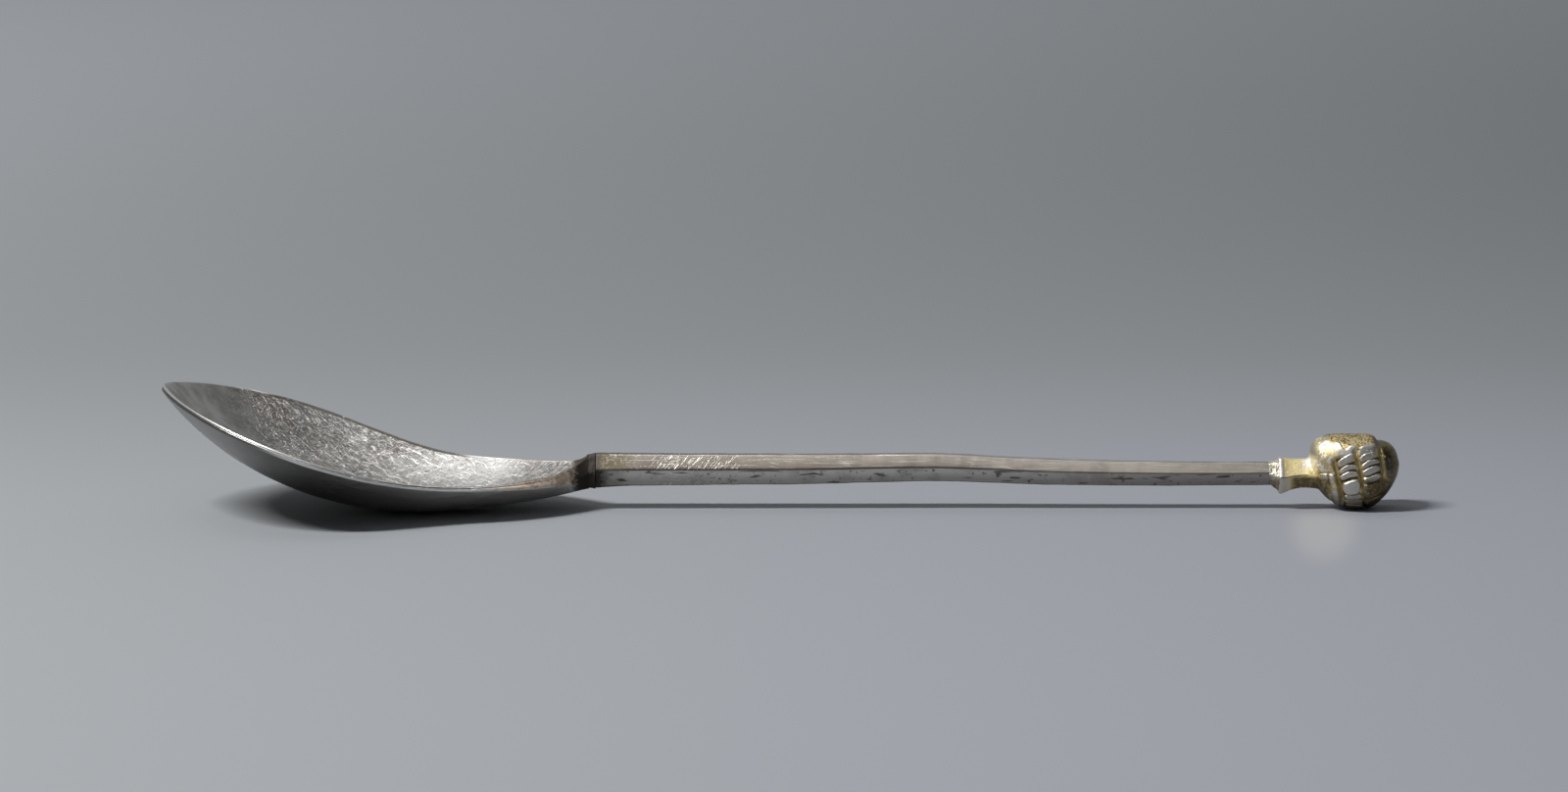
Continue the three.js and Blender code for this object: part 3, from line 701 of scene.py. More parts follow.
def carved_depth(along, turn):
    """How deep the carver cut at each point, less than nothing where a bead stands out, and the
    narrow gaps between beads. The carver's hand wanders a little along and round the head."""
    angle = np.degrees(np.arcsin(np.sin(turn)))
    angle = angle + HAND_TURN * np.sin(1.9 * along + 0.07 * angle)
    along = along + HAND_SLIP * np.sin(0.21 * angle + 0.8)
    along = along + LEAN * smooth_step(5, -35, angle) * smooth_step(-1.5, 2, along)
    in_bands = between(along, GROOVES[0] + 0.1, GROOVES[2] - 0.1, 0.2)
    worn = smooth_step(GROOVES[1], GROOVES[1] + 0.3, along) * smooth_step(-12, -24, angle)
    bed_top = BED_TOP - BED_FALL * smooth_step(GROOVES[1] - 0.3, GROOVES[1] + 0.3, along)
    depth = BED_DEEP * in_bands * smooth_step(bed_top, bed_top - 2.5, angle) * (1 - 0.8 * worn)
    for groove, top, foot in zip(GROOVES, GROOVE_TOPS, GROOVE_FEET):
        cut = smooth_step(top, top - 6, angle) * smooth_step(foot - 14, foot, angle)
        depth = np.maximum(depth, GROOVE_DEEP * ridge(along - groove, GROOVE_HALF) * cut)
    for start, end, beads in zip(GROOVES, GROOVES[1:], (FIRST_BEADS, SECOND_BEADS)):
        depth = with_beads(depth, along, angle, start, end, beads)
    off_groove = 1 - ridge(along - GROOVES[1], 1.5 * GROOVE_HALF)
    gaps = np.clip(depth / BED_DEEP, 0, 1) * in_bands * off_groove
    low = smooth_step(STRIP_TOP, STRIP_TOP - 3, angle)
    depth = depth - STRIP_RISE * between(along, *STRIP, 0.12) * low
    depth = depth + LEAF_DEEP * ridge(along - STRIP[0], 0.12) * low
    leaf_edge = STRIP_TOP - 6 * (along - STRIP[0])
    on_collar = smooth_step(-5.1, -4.7, along) * smooth_step(-3.0, -3.2, along)
    depth = depth + LEAF_DEEP * ridge(angle - leaf_edge, 1.6) * on_collar
    return depth, gaps


head_angles = np.broadcast_to(angles, (len(head_places), RING_POINTS))
along = np.broadcast_to(head_places[:, None], head_angles.shape)
depth, gaps = carved_depth(along, head_angles)
print("carving from", round(float(depth.min()), 2), "to", round(float(depth.max()), 2), "mm deep")

# %% Rings of the head
CLOSING_SHARES = (0.7, 0.4, 0.12)

reach = head_reach(along, head_angles)
reach = reach - np.minimum(depth, 0.6 * reach)
rise = reach * np.sin(head_angles)
lean, stand = math.sin(HEAD_TILT), math.cos(HEAD_TILT)
head_x, head_z = HEAD_X + along * stand - rise * lean, HEAD_Z + along * lean + rise * stand
head = np.stack([head_x, reach * np.cos(head_angles), head_z], axis=2)
pole = head[-1].mean(axis=0)
closing = [pole + (head[-1] - pole) * share for share in CLOSING_SHARES]
print("the head reaches", round(float(head[..., 0].max()), 2), "mm along the spoon")

# %% [markdown]
# The waist meets the head in a soft hollow, as a casting does. A few passes that average each ring with
# its neighbours round that corner off. Then the top is cut to a low dome and its middle sunk, which
# leaves a table with a wavy edge. Metal that would lie below the floor is worn to a small flat.

# %% Dome and table of the knop
FILLET_PASSES = 10
FILLET_RINGS = (7, 16)
TABLE_Z = 9.85
TABLE_MIDDLE = 120.5
TABLE_HALVES = (3.2, 3.65)
TABLE_FULL = 2.6
TABLE_DEEP = 0.12
TABLE_REACH = 1.6
TABLE_WAVES = 11
WAVE_HIGH = 0.05
DOME_DROP = 1.1
DOME_HALF = 3.6
DOME_END = 122.33
DOME_RUN = 1.7
DOME_STOP = (GROOVES[2] + 0.3, GROOVES[2] + 0.55)

rings = np.concatenate([np.array(knop_rings), head, np.array(closing)])
joint = len(knop_rings)
on_head = slice(joint, joint + len(head))
for _ in range(FILLET_PASSES):
    part = rings[joint - FILLET_RINGS[0] : joint + FILLET_RINGS[1]]
    part[1:-1] = 0.25 * part[:-2] + 0.5 * part[1:-1] + 0.25 * part[2:]
offset_x = (rings[..., 0] - TABLE_MIDDLE) / TABLE_HALVES[0]
offset_y = rings[..., 1] / TABLE_HALVES[1]
spread = (np.abs(offset_x) ** TABLE_FULL + np.abs(offset_y) ** TABLE_FULL) ** (1 / TABLE_FULL)
spread = spread * (1 + WAVE_HIGH * np.cos(TABLE_WAVES * np.arctan2(offset_y, offset_x)))
sunk = smooth_step(1.0, 0.94, spread) * (rings[..., 2] > TABLE_Z - TABLE_REACH)
past_end = np.maximum(0, rings[..., 0] - DOME_END) / DOME_RUN
dome = TABLE_Z - DOME_DROP * (rings[..., 1] / DOME_HALF) ** 2 - DOME_DROP * past_end**2
dome[on_head] += HEAD_LONG * smooth_step(*DOME_STOP, along)
dome[on_head.stop :] += HEAD_LONG
rings[..., 2] = np.minimum(rings[..., 2], dome) - TABLE_DEEP * sunk
rings[..., 2] = np.maximum(rings[..., 2], 0)
print("the knop is", round(float(rings[..., 2].max()), 2), "mm high")

# %% Knop
WAIST_RIDGE = 0.05
RIDGE_STOP = 4

hollow, gap, on_waist = (np.zeros(rings.shape[:2]) for _ in range(3))
hollow[on_head] = depth / GROOVE_DEEP
gap[on_head] = gaps
at_side = np.cos(angles) ** 2 > 0.5
on_waist[: joint - RIDGE_STOP] = ridge(np.arcsin(np.sin(angles)), WAIST_RIDGE) * at_side
knop_marks = {"hollow": hollow, "gap": gap, "ridge": on_waist, "table": sunk}
finial = wrapped_sheet("spoon_finial", rings, knop_marks)
make_uneven(finial, size=1.4, depth=0.05)
keep_in_box(finial)

# %% [markdown]
# Solder joins the pieces. At the bowl it lies a little back in the gap and has gone dark, and at the knop
# it is a pale, lumpy cone on the end of the stem. Both start as a hexagon that is extruded, and a strong
# unevenness turns them into metal that once ran.

# %% Solder at the neck
LUMP = 0.7
SEAM_STEPS = ((0.45, 0.02, 1.03), (0.45, 0.02, 1.03), (0.36, 0.02, 1.03))


def solder(name, x, middle, high, wide, steps, depth):
    """A hexagon that is extruded, rounded and made lumpy. Each step gives a move along X and up,
    and the scale of the new end."""
    piece = hexagon(name, x, middle, wide)
    edit_all()
    natural = wide * math.sin(math.radians(60))
    bpy.ops.transform.resize(value=(1, 1, high / natural), center_override=(x * MM, 0, middle * MM))
    for run, rise, scale in steps:
        x, middle = x + run, middle + rise
        extrude_end(run, rise, (scale, scale), x, middle)
    end_edit(cuts=3)
    subdivided(piece)
    make_uneven(piece, size=LUMP, depth=depth)
    make_uneven(piece, size=0.35 * LUMP, depth=0.4 * depth)
    return piece


bowl_solder = solder(
    "spoon_bowl_solder", x=21.25, middle=4.86, high=4.15, wide=3.15, steps=SEAM_STEPS, depth=0.22
)

# %% Solder at the knop
CONE_STEPS = ((0.4, -0.06, 1.06), (0.4, -0.12, 1.1), (0.4, -0.12, 1.12), (0.2, -0.04, 1.0))

finial_solder = solder(
    "spoon_finial_solder", x=109.6, middle=4.66, high=2.87, wide=2.95, steps=CONE_STEPS, depth=0.3
)

# %% [markdown]
# Materials are built from nodes, and a few sums on a mask would mean many of them. This class wraps the
# output of a node, so that a sum written in Python adds the Math nodes by itself. Its method node() adds
# every other kind of node.

# %% Sums that become nodes
class Thread:
    """A value on its way through a material."""

    def __init__(self, tree, socket):
        self.tree = tree
        self.socket = socket

    def node(self, kind, settings=None, sockets=None, output=0):
        """Adds a node: its settings first, then the values or links of its sockets."""
        made = self.tree.nodes.new(kind)
        for name, value in (settings or {}).items():
            setattr(made, name, value)
        for name, value in (sockets or {}).items():
            if isinstance(value, Thread):
                self.tree.links.new(value.socket, made.inputs[name])
            else:
                made.inputs[name].default_value = value
        return Thread(self.tree, made.outputs[output] if len(made.outputs) else None)

    def sum(self, operation, first, second):
        return self.node("ShaderNodeMath", {"operation": operation}, {0: first, 1: second})

    def __add__(self, other):
        return self.sum("ADD", self, other)

    def __sub__(self, other):
        return self.sum("SUBTRACT", self, other)

    def __rsub__(self, other):
        return self.sum("SUBTRACT", other, self)

    def __mul__(self, other):
        return self.sum("MULTIPLY", self, other)

    __radd__ = __add__
    __rmul__ = __mul__


print("sums on threads: + - *")

# %% [markdown]
# The same few patterns make every finish of this spoon: soft grain, thin scratches and a change between
# two levels. They read Object coordinates in millimetres, so a size that is written here is a size on the
# spoon.

# %% Patterns for old metal
THROUGH = 9
SCRATCH_SOFT = 0.08


def new_finish(name):
    """A material with no nodes but its coordinates, in millimetres."""
    material = bpy.data.materials.new(name)
    material.use_nodes = True
    tree = material.node_tree
    tree.nodes.clear()
    place = Thread(tree, tree.nodes.new("ShaderNodeTexCoord").outputs["Object"])
    where = place.node("ShaderNodeVectorMath", {"operation": "SCALE"}, {0: place, "Scale": 1 / MM})
    return material, where


def axis(where, name):
    return where.node("ShaderNodeSeparateXYZ", {}, {0: where}, output=name)


def marked(where, *names):
    """Values that were kept on the mesh."""
    return [where.node("ShaderNodeAttribute", {"attribute_name": name}, {}, output="Fac") for name in names]


def grain(where, size, detail=3.0, rough=0.55, bend=0.0):
    """Soft noise with patches of about this size."""
    values = {"Vector": where, "Scale": 1 / size, "Detail": detail, "Roughness": rough, "Distortion": bend}
    return where.node("ShaderNodeTexNoise", {}, values)


def level(value, low, high):
    """From 0 at low to 1 at high, with soft ends."""
    ends = {"Value": value, "From Min": low, "From Max": high}
    return value.node("ShaderNodeMapRange", {"interpolation_type": "SMOOTHSTEP"}, ends)


def scratches(where, turn, size, tight):
    """Thin lines. size is how far one reaches along, across and through, and turn lays them down."""
    laid = {"Vector": where, "Rotation": turn, "Scale": size}
    turned = where.node("ShaderNodeMapping", {"vector_type": "TEXTURE"}, laid)
    return level(grain(turned, 1.0, detail=1.5, bend=0.25), tight, tight + SCRATCH_SOFT)


# %% [markdown]
# A finish is laid on in coats, as a painter would: each coat has a mask that says where, a strength and a
# tint. At the end the colour, the roughness, the share of metal and a fine relief are joined.

# %% Coats of a finish
def largest(first, *others):
    """The largest of some masks."""
    for other in others:
        first = first.sum("MAXIMUM", first, other)
    return first


def mixed(mask, first, second):
    """The first colour where the mask is 0 and the second where it is 1."""
    return mask.node("ShaderNodeMix", {"data_type": "RGBA"}, {0: mask, 6: first, 7: second}, output=2)


def coated(colour, *coats):
    """A colour under coats, each with its mask, its strength and its tint."""
    for mask, strength, tint in coats:
        colour = mixed(mask * strength, colour, tint)
    return colour


def close_finish(material, where, colour, roughness, metallic, height, deep):
    """Joins colour, roughness, metal and a height of up to deep millimetres."""
    bump = where.node("ShaderNodeBump", {}, {"Strength": 1.0, "Distance": deep * MM, "Height": height})
    inputs = {"Base Color": colour, "Roughness": roughness, "Metallic": metallic, "Normal": bump}
    metal = where.node("ShaderNodeBsdfPrincipled", {}, inputs)
    where.node("ShaderNodeOutputMaterial", {}, {"Surface": metal})
    print(material.name, "has", len(material.node_tree.nodes), "nodes")
    return material


def dress(piece, finish):
    piece.data.materials.clear()
    piece.data.materials.append(finish)


# %% [markdown]
# The bowl is worn silver. Scouring has left fine scratches that cross each other, the tip is smoother than
# the middle, brown specks sit on the far side of the hollow, and dirt gathers at the neck. Parts of the
# hollow, the rim and the underside carry painted shade, sheen and reflection, the lip is painted with shade
# and the thin line of the rim is painted dark.

# %% Masks of the bowl
bowl_finish, where = new_finish("bowl_silver")
x, y = axis(where, "X"), axis(where, "Y")
rim, line, lip, under = marked(where, "rim", "line", "lip", "under")
patches = grain(where, 4.0, detail=5.0)
fine = grain(where, 0.45, detail=4.0)
sparkle = grain(where, 0.2, detail=2.0)


def crossed(where, lines, wide, tight):
    """Scratches that cross each other, each with its turn and its length."""
    return sum(scratches(where, (0, 0, turn), (long, wide, THROUGH), tight) for turn, long in lines)


pale_lines = crossed(where, ((0.65, 2.6),), 0.14, 0.60)
pale_lines = pale_lines + crossed(where, ((-0.55, 2.0), (1.25, 1.5), (0.1, 2.8), (-1.0, 1.6)), 0.13, 0.61)
dark_lines = crossed(where, ((0.35, 2.2), (-0.8, 1.8)), 0.15, 0.62)
slant = x + 0.38 * y + 5.0 * patches
worked = level(slant, -22, -14)
border = level(slant, -23, -18) * level(slant, -7, -14) * level(y, 11, 14.5)
specks = level(grain(where, 0.6, detail=5.0, rough=0.7), 0.50, 0.62)
# Painted shade: the hollow is painted darker just under the far rim and towards the neck end.
hollow_painted_shade = level(x, 6, 0) * level(x, -10, -4) * level(y, 11, 15)
# Painted sheen: the middle of the hollow below the far rim is painted paler.
hollow_painted_sheen = level(x, -9, -4) * level(x, 7, 3) * level(y, 14.5, 11)
# Painted reflection: the scoured part towards the neck is painted brighter where the lamp high behind shows
# in it.
painted_reflection = level(x + 3.0 * patches, 3, 6) * level(x - 3.0 * patches, 11.5, 7.5)
print("the scoured part starts on a slanting line")

# %% Colour of the hollow
SILVER = (0.56, 0.55, 0.53, 1)
WORKED_SILVER = (0.29, 0.284, 0.274, 1)
DULL_SILVER = (0.205, 0.195, 0.18, 1)
BRIGHT_SILVER = (0.92, 0.91, 0.89, 1)
PAINTED_REFLECTION_SILVER = (0.47, 0.466, 0.458, 1)
PAINTED_SHADE_SILVER = (0.13, 0.127, 0.12, 1)
BROWN = (0.17, 0.10, 0.05, 1)

in_hollow = coated(
    mixed(worked, SILVER, WORKED_SILVER),
    (level(patches, 0.36, 0.7), 0.8, DULL_SILVER),
    (hollow_painted_shade, 0.95, PAINTED_SHADE_SILVER),
    (hollow_painted_sheen, 0.45, SILVER),
    (level(x, 13, 16), 0.35, PAINTED_SHADE_SILVER),
    (painted_reflection, 0.9, PAINTED_REFLECTION_SILVER),
    (worked * level(sparkle, 0.5, 0.62), 0.35, BRIGHT_SILVER),
    (worked * pale_lines, 0.6, BRIGHT_SILVER),
    (worked * dark_lines, 0.55, BROWN),
    (worked * level(fine, 0.54, 0.68), 0.35, BROWN),
    (border, 0.08, BROWN),
    (specks * border, 0.6, BROWN),
)
print("nodes so far:", len(bowl_finish.node_tree.nodes))

# %% Colour of underside, rim and neck
UNDER_SILVER = (0.285, 0.274, 0.258, 1)
UNDER_PAINTED_SHADE = (0.104, 0.099, 0.091, 1)
UNDER_PAINTED_REFLECTION = (0.86, 0.835, 0.79, 1)
PATINA = (0.76, 0.64, 0.52, 1)
DARK_PATINA = (0.44, 0.34, 0.25, 1)
# One dark for real dirt and for painted shade.
DIRT_AND_SHADE = (0.034, 0.026, 0.019, 1)

# Painted shade and painted reflection: the underside is painted dark in its middle and much paler towards
# the neck.
underside = coated(UNDER_SILVER, (level(x, -27, -17), 1, UNDER_PAINTED_SHADE), (level(x, -14, 6), 1, UNDER_PAINTED_REFLECTION))
on_rim = level(rim, 0.4, 0.9)
# Painted shade: towards the tip the lower half of the rim's face is painted dark, which narrows the lamp's
# highlight there.
low_rim_painted_shade = on_rim * level(under, 0.42, 0.55) * level(x, -14, -21)
neck = level(x + 4.0 * patches, 9, 15) * on_rim
patina = mixed(level(fine + patches, 0.88, 1.12), PATINA, DARK_PATINA)
# Painted shade: a dotted dark line along the inner lip of the far rim, and of the near rim towards the
# neck.
far_lip = level(y, 0, 4) * level(x + 6.0 * patches, -21, -17) * level(x, 8, 3)
near_lip = level(y, 0, -2) * level(x, -2, 8)
lip_painted_shade = level(lip, 0.75, 0.95) * (far_lip + near_lip) * level(fine + 0.6 * patches, 0.4, 0.7)
# The thin line sunk in the rim's face is painted dark.
rim_line_dark = level(line, 0.25, 0.75) * level(x, 14, 9)
neck_dirt = level(x + 1.4 * patches + 1.2 * fine, 20.3, 21.5)
dirt_and_painted_shade = largest(neck_dirt, lip_painted_shade * 0.9, rim_line_dark * 0.95)
colour = coated(
    mixed(under, in_hollow, underside),
    (on_rim, 0.8, BRIGHT_SILVER),
    (low_rim_painted_shade, 0.95, UNDER_PAINTED_SHADE),
    (neck, 1, patina),
    (dirt_and_painted_shade, 1, DIRT_AND_SHADE),
)
rough = 0.32 + 0.12 * patches - 0.08 * (1 - worked) + 0.6 * dirt_and_painted_shade + 0.1 * neck
metal = 1 - 0.75 * largest(neck, dirt_and_painted_shade)
height = 0.5 * fine + 0.5 * worked * (sparkle + pale_lines - dark_lines) + 0.3 * patches
height = height - 0.8 * specks * border + 0.8 * neck * fine
dress(bowl, close_finish(bowl_finish, where, colour, rough, metal, height, 0.032))

# %% [markdown]
# The stem is a warmer grey. Its facets were filed, which left slanting marks near the bowl, and its lower
# sides have small dark pits. Solder that ran over the end near the bowl is rough and a little yellow. Light
# and shade are painted on too: the upper facets are paler in the middle of the stem and darker at its
# ends and towards the ridge, the lower facets carry a painted sheen by the ridge and painted shade towards
# the knop, the crests a painted highlight, and the ridges and bottom edges painted shade.

# %% Masks of the stem
stem_finish, where = new_finish("stem_silver")
x = axis(where, "X")
ridge_mark, crest, heel, rise = marked(where, "ridge", "crest", "heel", "rise")
patches = grain(where, 3.0, detail=5.0)
fine = grain(where, 0.35, detail=4.0)
filed = scratches(where, (0, -0.85, 0), (2.0, THROUGH, 0.13), 0.57) * level(x, 29, 32) * level(x, 43, 36)
drawn = scratches(where, (0, 0, 0), (7.0, THROUGH, 0.14), 0.58)
drawn = drawn + scratches(where, (0, 0.2, 0), (3.0, THROUGH, 0.14), 0.62)
lower = level(rise, 0.12, -0.02)
pits = level(grain(where, 0.8, detail=4.0, rough=0.7), 0.58, 0.68)
stains = pits + scratches(where, (0, 0, 0), (3.5, THROUGH, 0.55), 0.60)
marks = lower * stains.sum("MINIMUM", stains, 1.0)
spill = level(x + 3.5 * patches + 2.5 * fine, 33.0, 27.5)
crust = level(x + 2.6 * patches + 2.0 * fine - 1.2 * lower, 26.2, 24.2)
# Painted shade: the ridges and the bottom edges are painted dark.
edge_painted_shade = level(ridge_mark, 0.15, 0.6) * level(x, 24.0, 27)
edge_painted_shade = largest(edge_painted_shade, level(heel, 0.1, 0.6) * 0.8)
dirt_and_painted_shade = largest(crust, edge_painted_shade * 0.85)
print("nodes so far:", len(stem_finish.node_tree.nodes))

# %% Colour of the stem
STEM_WARM = (0.37, 0.328, 0.282, 1)
STEM_PAINTED_LIGHT = (0.53, 0.48, 0.425, 1)
STEM_COOL = (0.38, 0.367, 0.345, 1)
STEM_PAINTED_SHEEN = (0.68, 0.66, 0.62, 1)
STEM_DULL_AND_SHADE = (0.20, 0.175, 0.15, 1)
SPILL = (0.135, 0.115, 0.072, 1)
SMEAR = (0.10, 0.085, 0.07, 1)

# Painted light and shade on the upper facets: paler in the middle of the stem, darker at both ends and
# towards the ridge.
upper_silver = coated(
    mixed(level(x, 50, 82), STEM_WARM, STEM_PAINTED_LIGHT),
    (level(rise, 0.8, 0.1) * level(x, 100, 60), 0.75, STEM_DULL_AND_SHADE),
    (level(x, 46, 34) * 0.45 + level(x, 92, 106) * 0.3, 1, STEM_DULL_AND_SHADE),
)
# Painted sheen on the lower facets by the ridge, and painted shade towards the knop.
lower_silver = coated(
    STEM_COOL,
    (level(rise, -0.8, -0.1), 0.8, STEM_PAINTED_SHEEN),
    (level(x, 60, 105), 0.6, STEM_DULL_AND_SHADE),
)
colour = coated(
    mixed(lower, upper_silver, lower_silver),
    (level(patches, 0.45, 0.7), 0.4, STEM_DULL_AND_SHADE),
    (filed, 0.45, BRIGHT_SILVER),
    # Painted highlight along the crests.
    (level(crest, 0.2, 0.7), 0.8, BRIGHT_SILVER),
    (drawn * (1 - lower), 0.2, BRIGHT_SILVER),
    (spill * (1 - lower) * level(fine, 0.36, 0.54), 0.95, SPILL),
    (marks, 0.8, SMEAR),
    (dirt_and_painted_shade, 1, DIRT_AND_SHADE),
)
rough = 0.36 + 0.12 * patches + 0.06 * drawn + 0.15 * spill + 0.2 * marks - 0.1 * crest
height = 0.4 * fine + 0.3 * patches - 0.35 * drawn - 0.9 * filed - 0.9 * marks + 1.2 * spill * fine
dress(stem, close_finish(stem_finish, where, colour, rough, 1 - 0.7 * dirt_and_painted_shade, height, 0.025))

# %% [markdown]
# The knop was gilded all over. Hands have rubbed the gold off the beads and left it in the grooves, on the
# table and on the waist. Painted shade darkens the deepest cuts, the gaps between beads, the waist's
# ridge, some edges and the lower parts, and painted highlights lie on the waist and the flange's edge. The
# carving's depth was kept on the mesh as an attribute, so the gold follows it exactly.

# %% Where the gold is left
gilt_finish, where = new_finish("gilt_silver")
x, y, z = (axis(where, name) for name in "XYZ")
hollow, gap, waist_ridge, table = marked(where, "hollow", "gap", "ridge", "table")
patches = grain(where, 1.3, detail=5.0)
fine = grain(where, 0.28, detail=4.0)
specks = level(grain(where, 0.45, detail=5.0, rough=0.7), 0.58, 0.68)
waist = level(x, 117.0, 115.4) * level(x, 111.3, 111.6)
shoulder = level(x + 1.5 * patches, 120.2, 117.6)
top = level(table + 0.5 * patches, 0.45, 0.75)
gold = largest(
    level(hollow + 0.5 * patches, 0.30, 0.6),
    waist * level(patches + 0.3 * fine, 0.4, 0.6),
    top * level(patches + 0.4 * fine, 0.5, 0.8),
    shoulder * level(patches + 0.3 * fine, 0.55, 0.75),
    level(x, 123.6, 124.0),
)
pale = largest(level(patches, 0.4, 0.65), waist * 0.8)
# Painted highlights: the upper right of the waist and the flange's edge, most on its upper part, are
# painted pale.
bright = level(x, 113.2, 114.4) * level(x, 117.4, 116.4) * level(z, 5.0, 5.8)
flange_painted_highlight = level(x, 111.42, 111.2) * (0.55 + 0.45 * level(z, 4.0, 5.0))
print("nodes so far:", len(gilt_finish.node_tree.nodes))

# %% Dark places of the knop
cut = level(hollow + 0.3 * patches, 0.45, 0.8)
# Painted shade: the deepest cuts, the edge and far side of the sunk table and lines along the head's edges.
deep = level(hollow + 0.4 * fine, 0.9, 1.25)
table_edge = level(table, 0.1, 0.45) * level(table, 0.95, 0.6) * level(fine, 0.4, 0.55)
far_table = level(table, 0.1, 0.5) * level(y, 1.5, 2.6)
mottled = shoulder * level(x, 115.0, 116.0) * level(0.6 * patches + 0.6 * fine, 0.52, 0.66)
rear_edge = level(x, 116.0, 115.3) * level(z, 6.5, 7.5)
far_edge = level(y, -0.7, 0.3) * level(z, 9.3, 9.6) * level(fine, 0.38, 0.5)
end_edge = level(x, 122.7, 123.2) * level(z, 8.2, 8.8) * level(x, 124.6, 124.2)
lobe = level(x + 0.8 * patches + 0.2 * z, 125.5, 126.2)
# Painted shade: the underside of the head, its low end and the waist's lower facets are painted brown and
# dark. The lobe at the end is dark metal of itself and shares these coats.
below = level(z + 1.2 * patches, 3.4, 1.6)
low_end = level(x + 0.9 * patches, 121.7, 122.7) * level(z + 0.6 * patches, 5.2, 4.4)
low_waist = level(z + 0.5 * patches, 4.9, 4.3) * level(x, 112.0, 113.2) * level(x, 117.6, 116.8)
lobe_and_low_shade = largest(lobe, low_end, low_waist * 0.9)
shaded = largest(lobe_and_low_shade * level(fine + patches, 0.7, 1.05), below * 0.9)
low_flange = level(x, 112.6, 111.9) * level(z, 4.5, 4.1)
print("nodes so far:", len(gilt_finish.node_tree.nodes))

# %% Colour of the knop
GOLD = (0.55, 0.44, 0.20, 1)
PALE_GOLD = (1.0, 0.86, 0.49, 1)
OLIVE = (0.30, 0.23, 0.095, 1)
RUBBED = (0.58, 0.56, 0.52, 1)
TABLE_GOLD = (0.72, 0.58, 0.31, 1)
TABLE_BROWN = (0.13, 0.088, 0.042, 1)
WORN_GREY = (0.17, 0.16, 0.16, 1)
SHADE = (0.075, 0.055, 0.03, 1)

table_colour = mixed(level(fine + 0.4 * patches, 0.66, 0.78), TABLE_GOLD, TABLE_BROWN)
colour = coated(
    mixed(gold, RUBBED, mixed(pale, GOLD, PALE_GOLD)),
    (largest(bright * 0.5, flange_painted_highlight * 0.6), 1, BRIGHT_SILVER),
    (top, 0.85, table_colour),
    (table_edge, 0.8, SHADE),
    (far_table, 0.8, SHADE),
    (mottled, 0.8, OLIVE),
    (largest(rear_edge * 0.7, far_edge, end_edge), 0.85, SHADE),
    (cut, 0.4, OLIVE),
    (deep, 0.35, SHADE),
    (level(gap, 0.4, 0.9), 0.85, SHADE),
    (lobe_and_low_shade * level(patches, 0.62, 0.5), 0.9, OLIVE),
    (shaded, 0.85, SHADE),
    (lobe * level(patches, 0.48, 0.6), 0.7, WORN_GREY),
    (low_flange, 0.8, RUBBED),
    (level(waist_ridge, 0.3, 0.8) * level(x, 116.5, 115.0), 0.7, SHADE),
    (specks, 0.5, OLIVE),
)
rough = 0.36 + 0.14 * patches + 0.15 * deep + 0.12 * top - 0.1 * lobe
rough = rough + 0.09 * waist + 0.06 * shoulder
height = 0.7 * fine + 0.5 * patches - 0.6 * specks
dress(finial, close_finish(gilt_finish, where, colour, rough, 1.0, height, 0.045))

# %% [markdown]
# The two seams are the same solder. One has filled with dirt, which is rough and no longer looks like
# metal, and the other is bright where it is rubbed. Both are painted darker towards the bottom as shade.

# %% Solder
SEAM_DIRT = (0.026, 0.020, 0.015, 1)
CONE_PALE = (0.66, 0.62, 0.52, 1)
CONE_DARK = (0.17, 0.13, 0.085, 1)


def solder_finish(name, bright, dark, tight, metal, dull):
    material, where = new_finish(name)
    patches = grain(where, 0.9, detail=4.0)
    fine = grain(where, 0.2, detail=4.0)
    colour = coated(
        bright,
        (level(patches + 0.4 * fine, tight, tight + 0.3), 1, dark),
        # Painted shade: lower down the solder is painted darker.
        (level(axis(where, "Z") + patches, 5.0, 4.2), 0.75, dark),
    )
    rough = dull + 0.25 * patches
    return close_finish(material, where, colour, rough, metal, 0.6 * fine + 0.6 * patches, 0.05)


dress(bowl_solder, solder_finish("solder_dark", SEAM_DIRT, DIRT_AND_SHADE, tight=0.55, metal=0.0, dull=0.7))
dress(finial_solder, solder_finish("solder_pale", CONE_PALE, CONE_DARK, tight=0.62, metal=0.9, dull=0.38))

# %% [markdown]
# The floor is a sheet of smooth grey paper, a little cooler on the right. Its grey also carries painted
# light: paler on the right, darker in the middle distance and much paler far behind on the left, and in
# front of the knop a faint painted patch of the light that polished metal throws.

# %% Paper
NEAR_PAPER = (0.192, 0.201, 0.210, 1)
MIDDLE_PAPER = (0.160, 0.169, 0.176, 1)
RIGHT_PAPER = (0.190, 0.200, 0.210, 1)
FAR_PAPER_PAINTED_LIGHT = (0.62, 0.645, 0.69, 1)
COOL_PAPER = (0.250, 0.259, 0.300, 1)
PAINTED_GLOW_PAPER = (0.42, 0.405, 0.38, 1)
GLOW_X, GLOW_Y = 116.9, -13
GLOW_LEAN = 0.104
GLOW_NARROW = 0.026
GLOW_SHORT = 0.0008

paper_finish, where = new_finish("grey_paper")
x, y = axis(where, "X"), axis(where, "Y")
# Painted light: the grey is painted darker in the middle distance, paler on the right and much paler far
# behind on the left.
near = mixed(level(x, -60, 160) * 0.7, NEAR_PAPER, COOL_PAPER)
middle = mixed(level(x, -100, 160), MIDDLE_PAPER, RIGHT_PAPER)
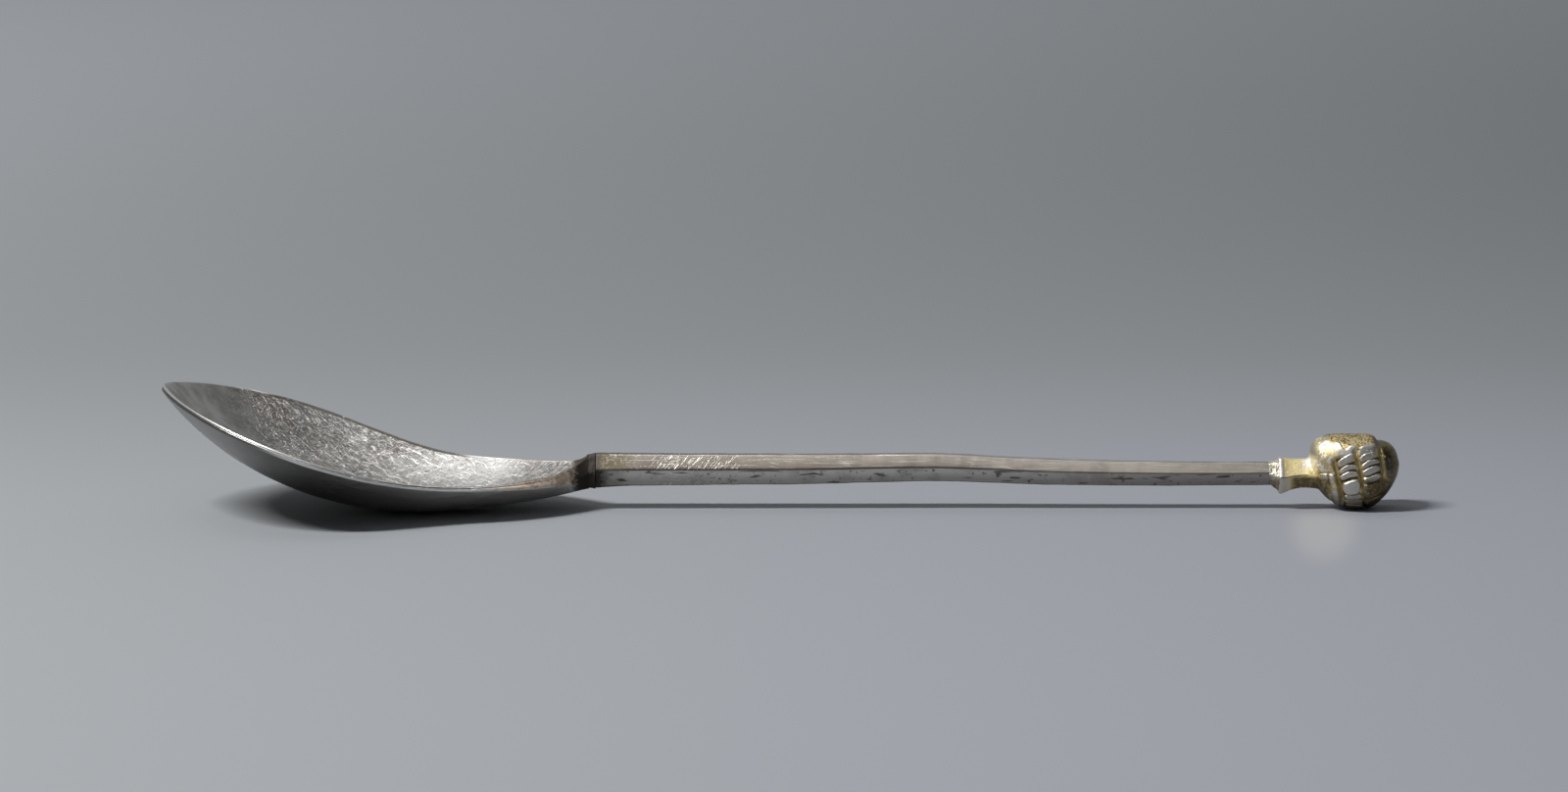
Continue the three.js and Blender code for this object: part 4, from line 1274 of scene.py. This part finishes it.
# Painted light: a faint patch of light is painted on the paper in front of the knop.
aside, ahead = x - GLOW_LEAN * y - GLOW_X, y - GLOW_Y
fade = level(GLOW_NARROW * aside * aside + GLOW_SHORT * ahead * ahead, 1, 0)
colour = coated(
    mixed(level(y, -10, 165), near, middle),
    (level(y - 0.65 * x, 100, 1250), 1, FAR_PAPER_PAINTED_LIGHT),
    (fade * fade * level(y, 3, -10), 0.33, PAINTED_GLOW_PAPER),
)
paper = where.node("ShaderNodeBsdfPrincipled", {}, {"Base Color": colour, "Roughness": 0.75})
where.node("ShaderNodeOutputMaterial", {}, {"Surface": paper})
dress(floor, paper_finish)
print("paper of", len(paper_finish.node_tree.nodes), "nodes")

# %% [markdown]
# The room is dark except behind the spoon, where the paper would rise to a wall, which the metal mirrors
# too. The camera sees that wall's grey in every direction, so that no view ends in a black edge.

# %% Room
WORLD_GREY = 0.05
BACKDROP_GREY = 0.29
ROOM_TINT = (0.96, 0.99, 1.0, 1)

scene.world.use_nodes = True
room = scene.world.node_tree
room.nodes.clear()
look = Thread(room, room.nodes.new("ShaderNodeTexCoord").outputs["Generated"])
behind = level(axis(look, "Y"), -0.05, 0.4)
glow = WORLD_GREY + (BACKDROP_GREY - WORLD_GREY) * behind
seen = look.node("ShaderNodeLightPath", {}, {}, output="Is Camera Ray")
strength = glow * (1 - seen) + BACKDROP_GREY * seen
light = look.node("ShaderNodeBackground", {}, {"Color": ROOM_TINT, "Strength": strength})
look.node("ShaderNodeOutputWorld", {}, {"Surface": light})
print("room of", len(room.nodes), "nodes")

# %% [markdown]
# Last, each piece is tied to the frame: it rides on the spoon's one body and stands in for its node of the
# imported model, which is hidden. The sizes of the dressed spoon and of the imported one are printed, so
# that they can be compared.

# %% Tie the pieces to the frame
PIECES = (
    (bowl, "bowl", "bowl_silver"),
    (stem, "stem", "stem_silver"),
    (finial, "finial", "gilt_silver"),
    (bowl_solder, "bowl_solder", "solder"),
    (finial_solder, "finial_solder", "solder"),
)
for piece, node, slot in PIECES:
    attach(piece, "root")
    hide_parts(node)

low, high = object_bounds()
print("dressed size in mm:", [round((b - a) / MM, 2) for a, b in zip(low, high)])
